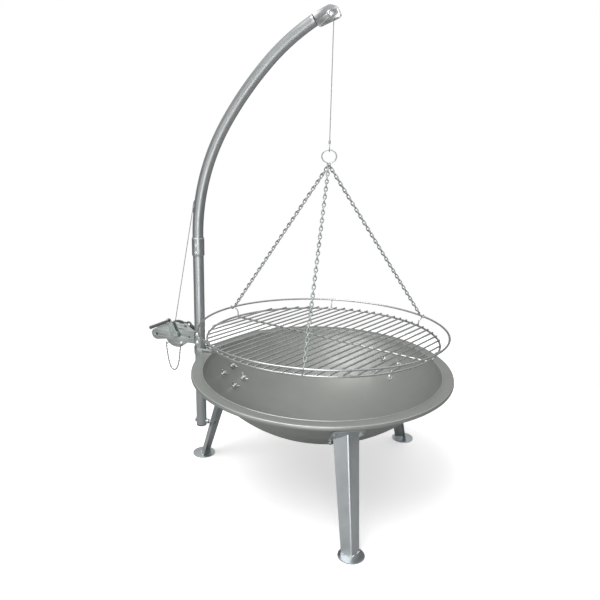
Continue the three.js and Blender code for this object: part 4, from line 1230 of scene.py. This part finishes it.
def lamp(name, kind, aim, power, **settings):
    """A light that shines along aim."""
    data = bpy.data.lights.new(name, kind)
    data.energy = power
    for key, value in settings.items():
        setattr(data, key, value)
    obj = put(name, data)
    obj.rotation_mode = "QUATERNION"
    obj.rotation_quaternion = aim.to_track_quat("-Z", "Y")
    return obj


def softbox(name, place, aim, width, height, power):
    obj = lamp(name, "AREA", Vector(aim) - Vector(place), power, shape="RECTANGLE", size=width, size_y=height)
    obj.location = place


def surround():
    """White where the camera looks past the object. On the object it acts as a soft ceiling over dim walls."""
    world = bpy.data.worlds.new("surround")
    world.use_nodes = True
    tree = world.node_tree
    height = node(tree, "SeparateXYZ", "Z", {"Vector": node(tree, "TexCoord", "Generated", {})})
    light = node(tree, "MapRange", "Result",
                 {"From Min": 0.0, "From Max": 1.0, "To Min": WALL_LIGHT, "To Max": CEILING_LIGHT,
                  "Value": height})
    seen = node(tree, "LightPath", "Is Camera Ray", {})
    background = tree.nodes["Background"].inputs
    feed(tree, background["Strength"], node(tree, "Mix", "Result", {"Factor": seen, "A": light, "B": 1.0}))
    background["Color"].default_value = (1, 1, 1, 1)
    bpy.context.scene.world = world


def paper():
    """The floor's white, which the camera sees brighter than the object does."""
    mat = bpy.data.materials.new("paper")
    mat.use_nodes = True
    tree = mat.node_tree
    shader = tree.nodes["Principled BSDF"].inputs
    seen = node(tree, "LightPath", "Is Camera Ray", {})
    feed(tree, shader["Base Color"], node(tree, "Mix", "Result", {
        "Factor": seen, "A": (*[FLOOR_BOUNCE] * 3, 1), "B": (*[WHITE] * 3, 1)}, data_type="RGBA"))
    feed(tree, shader["Emission Strength"],
         node(tree, "Math", "Value", {0: seen, 1: FLOOR_GLOW}, operation="MULTIPLY"))
    shader["Emission Color"].default_value = (1, 1, 1, 1)
    shader["Roughness"].default_value = 1.0
    return mat


def stage():
    """A plain white floor, a soft surround, a wide soft light overhead and two softboxes."""
    floor = bpy.data.meshes.new("floor")
    floor.from_pydata([(x, y, -0.0005) for x, y in circle(FLOOR_R, 128)], [], [tuple(range(128))])
    floor.materials.append(paper())
    put("floor", floor)

    surround()
    bpy.context.scene.view_settings.view_transform = "Standard"
    lamp("overhead", "SUN", Vector((0.3, 0.45, -1)), 1.5, angle=radians(42))
    softbox("key", (0.8, -3.1, 0.8), (-0.2, 0, 0.8), 2.0, 3.4, 46)
    softbox("left", (-1.7, -2.7, 0.7), (0, 0, 0.6), 1.1, 3.0, 11)


for build in (bowl, legs, pole, rim_clamp, arm, clevis, pulley, rope, winch_frame, winch_fittings, drum, crank,
              lock_chain, lift_ring, grate, handle_ring, chains, stage):
    build()
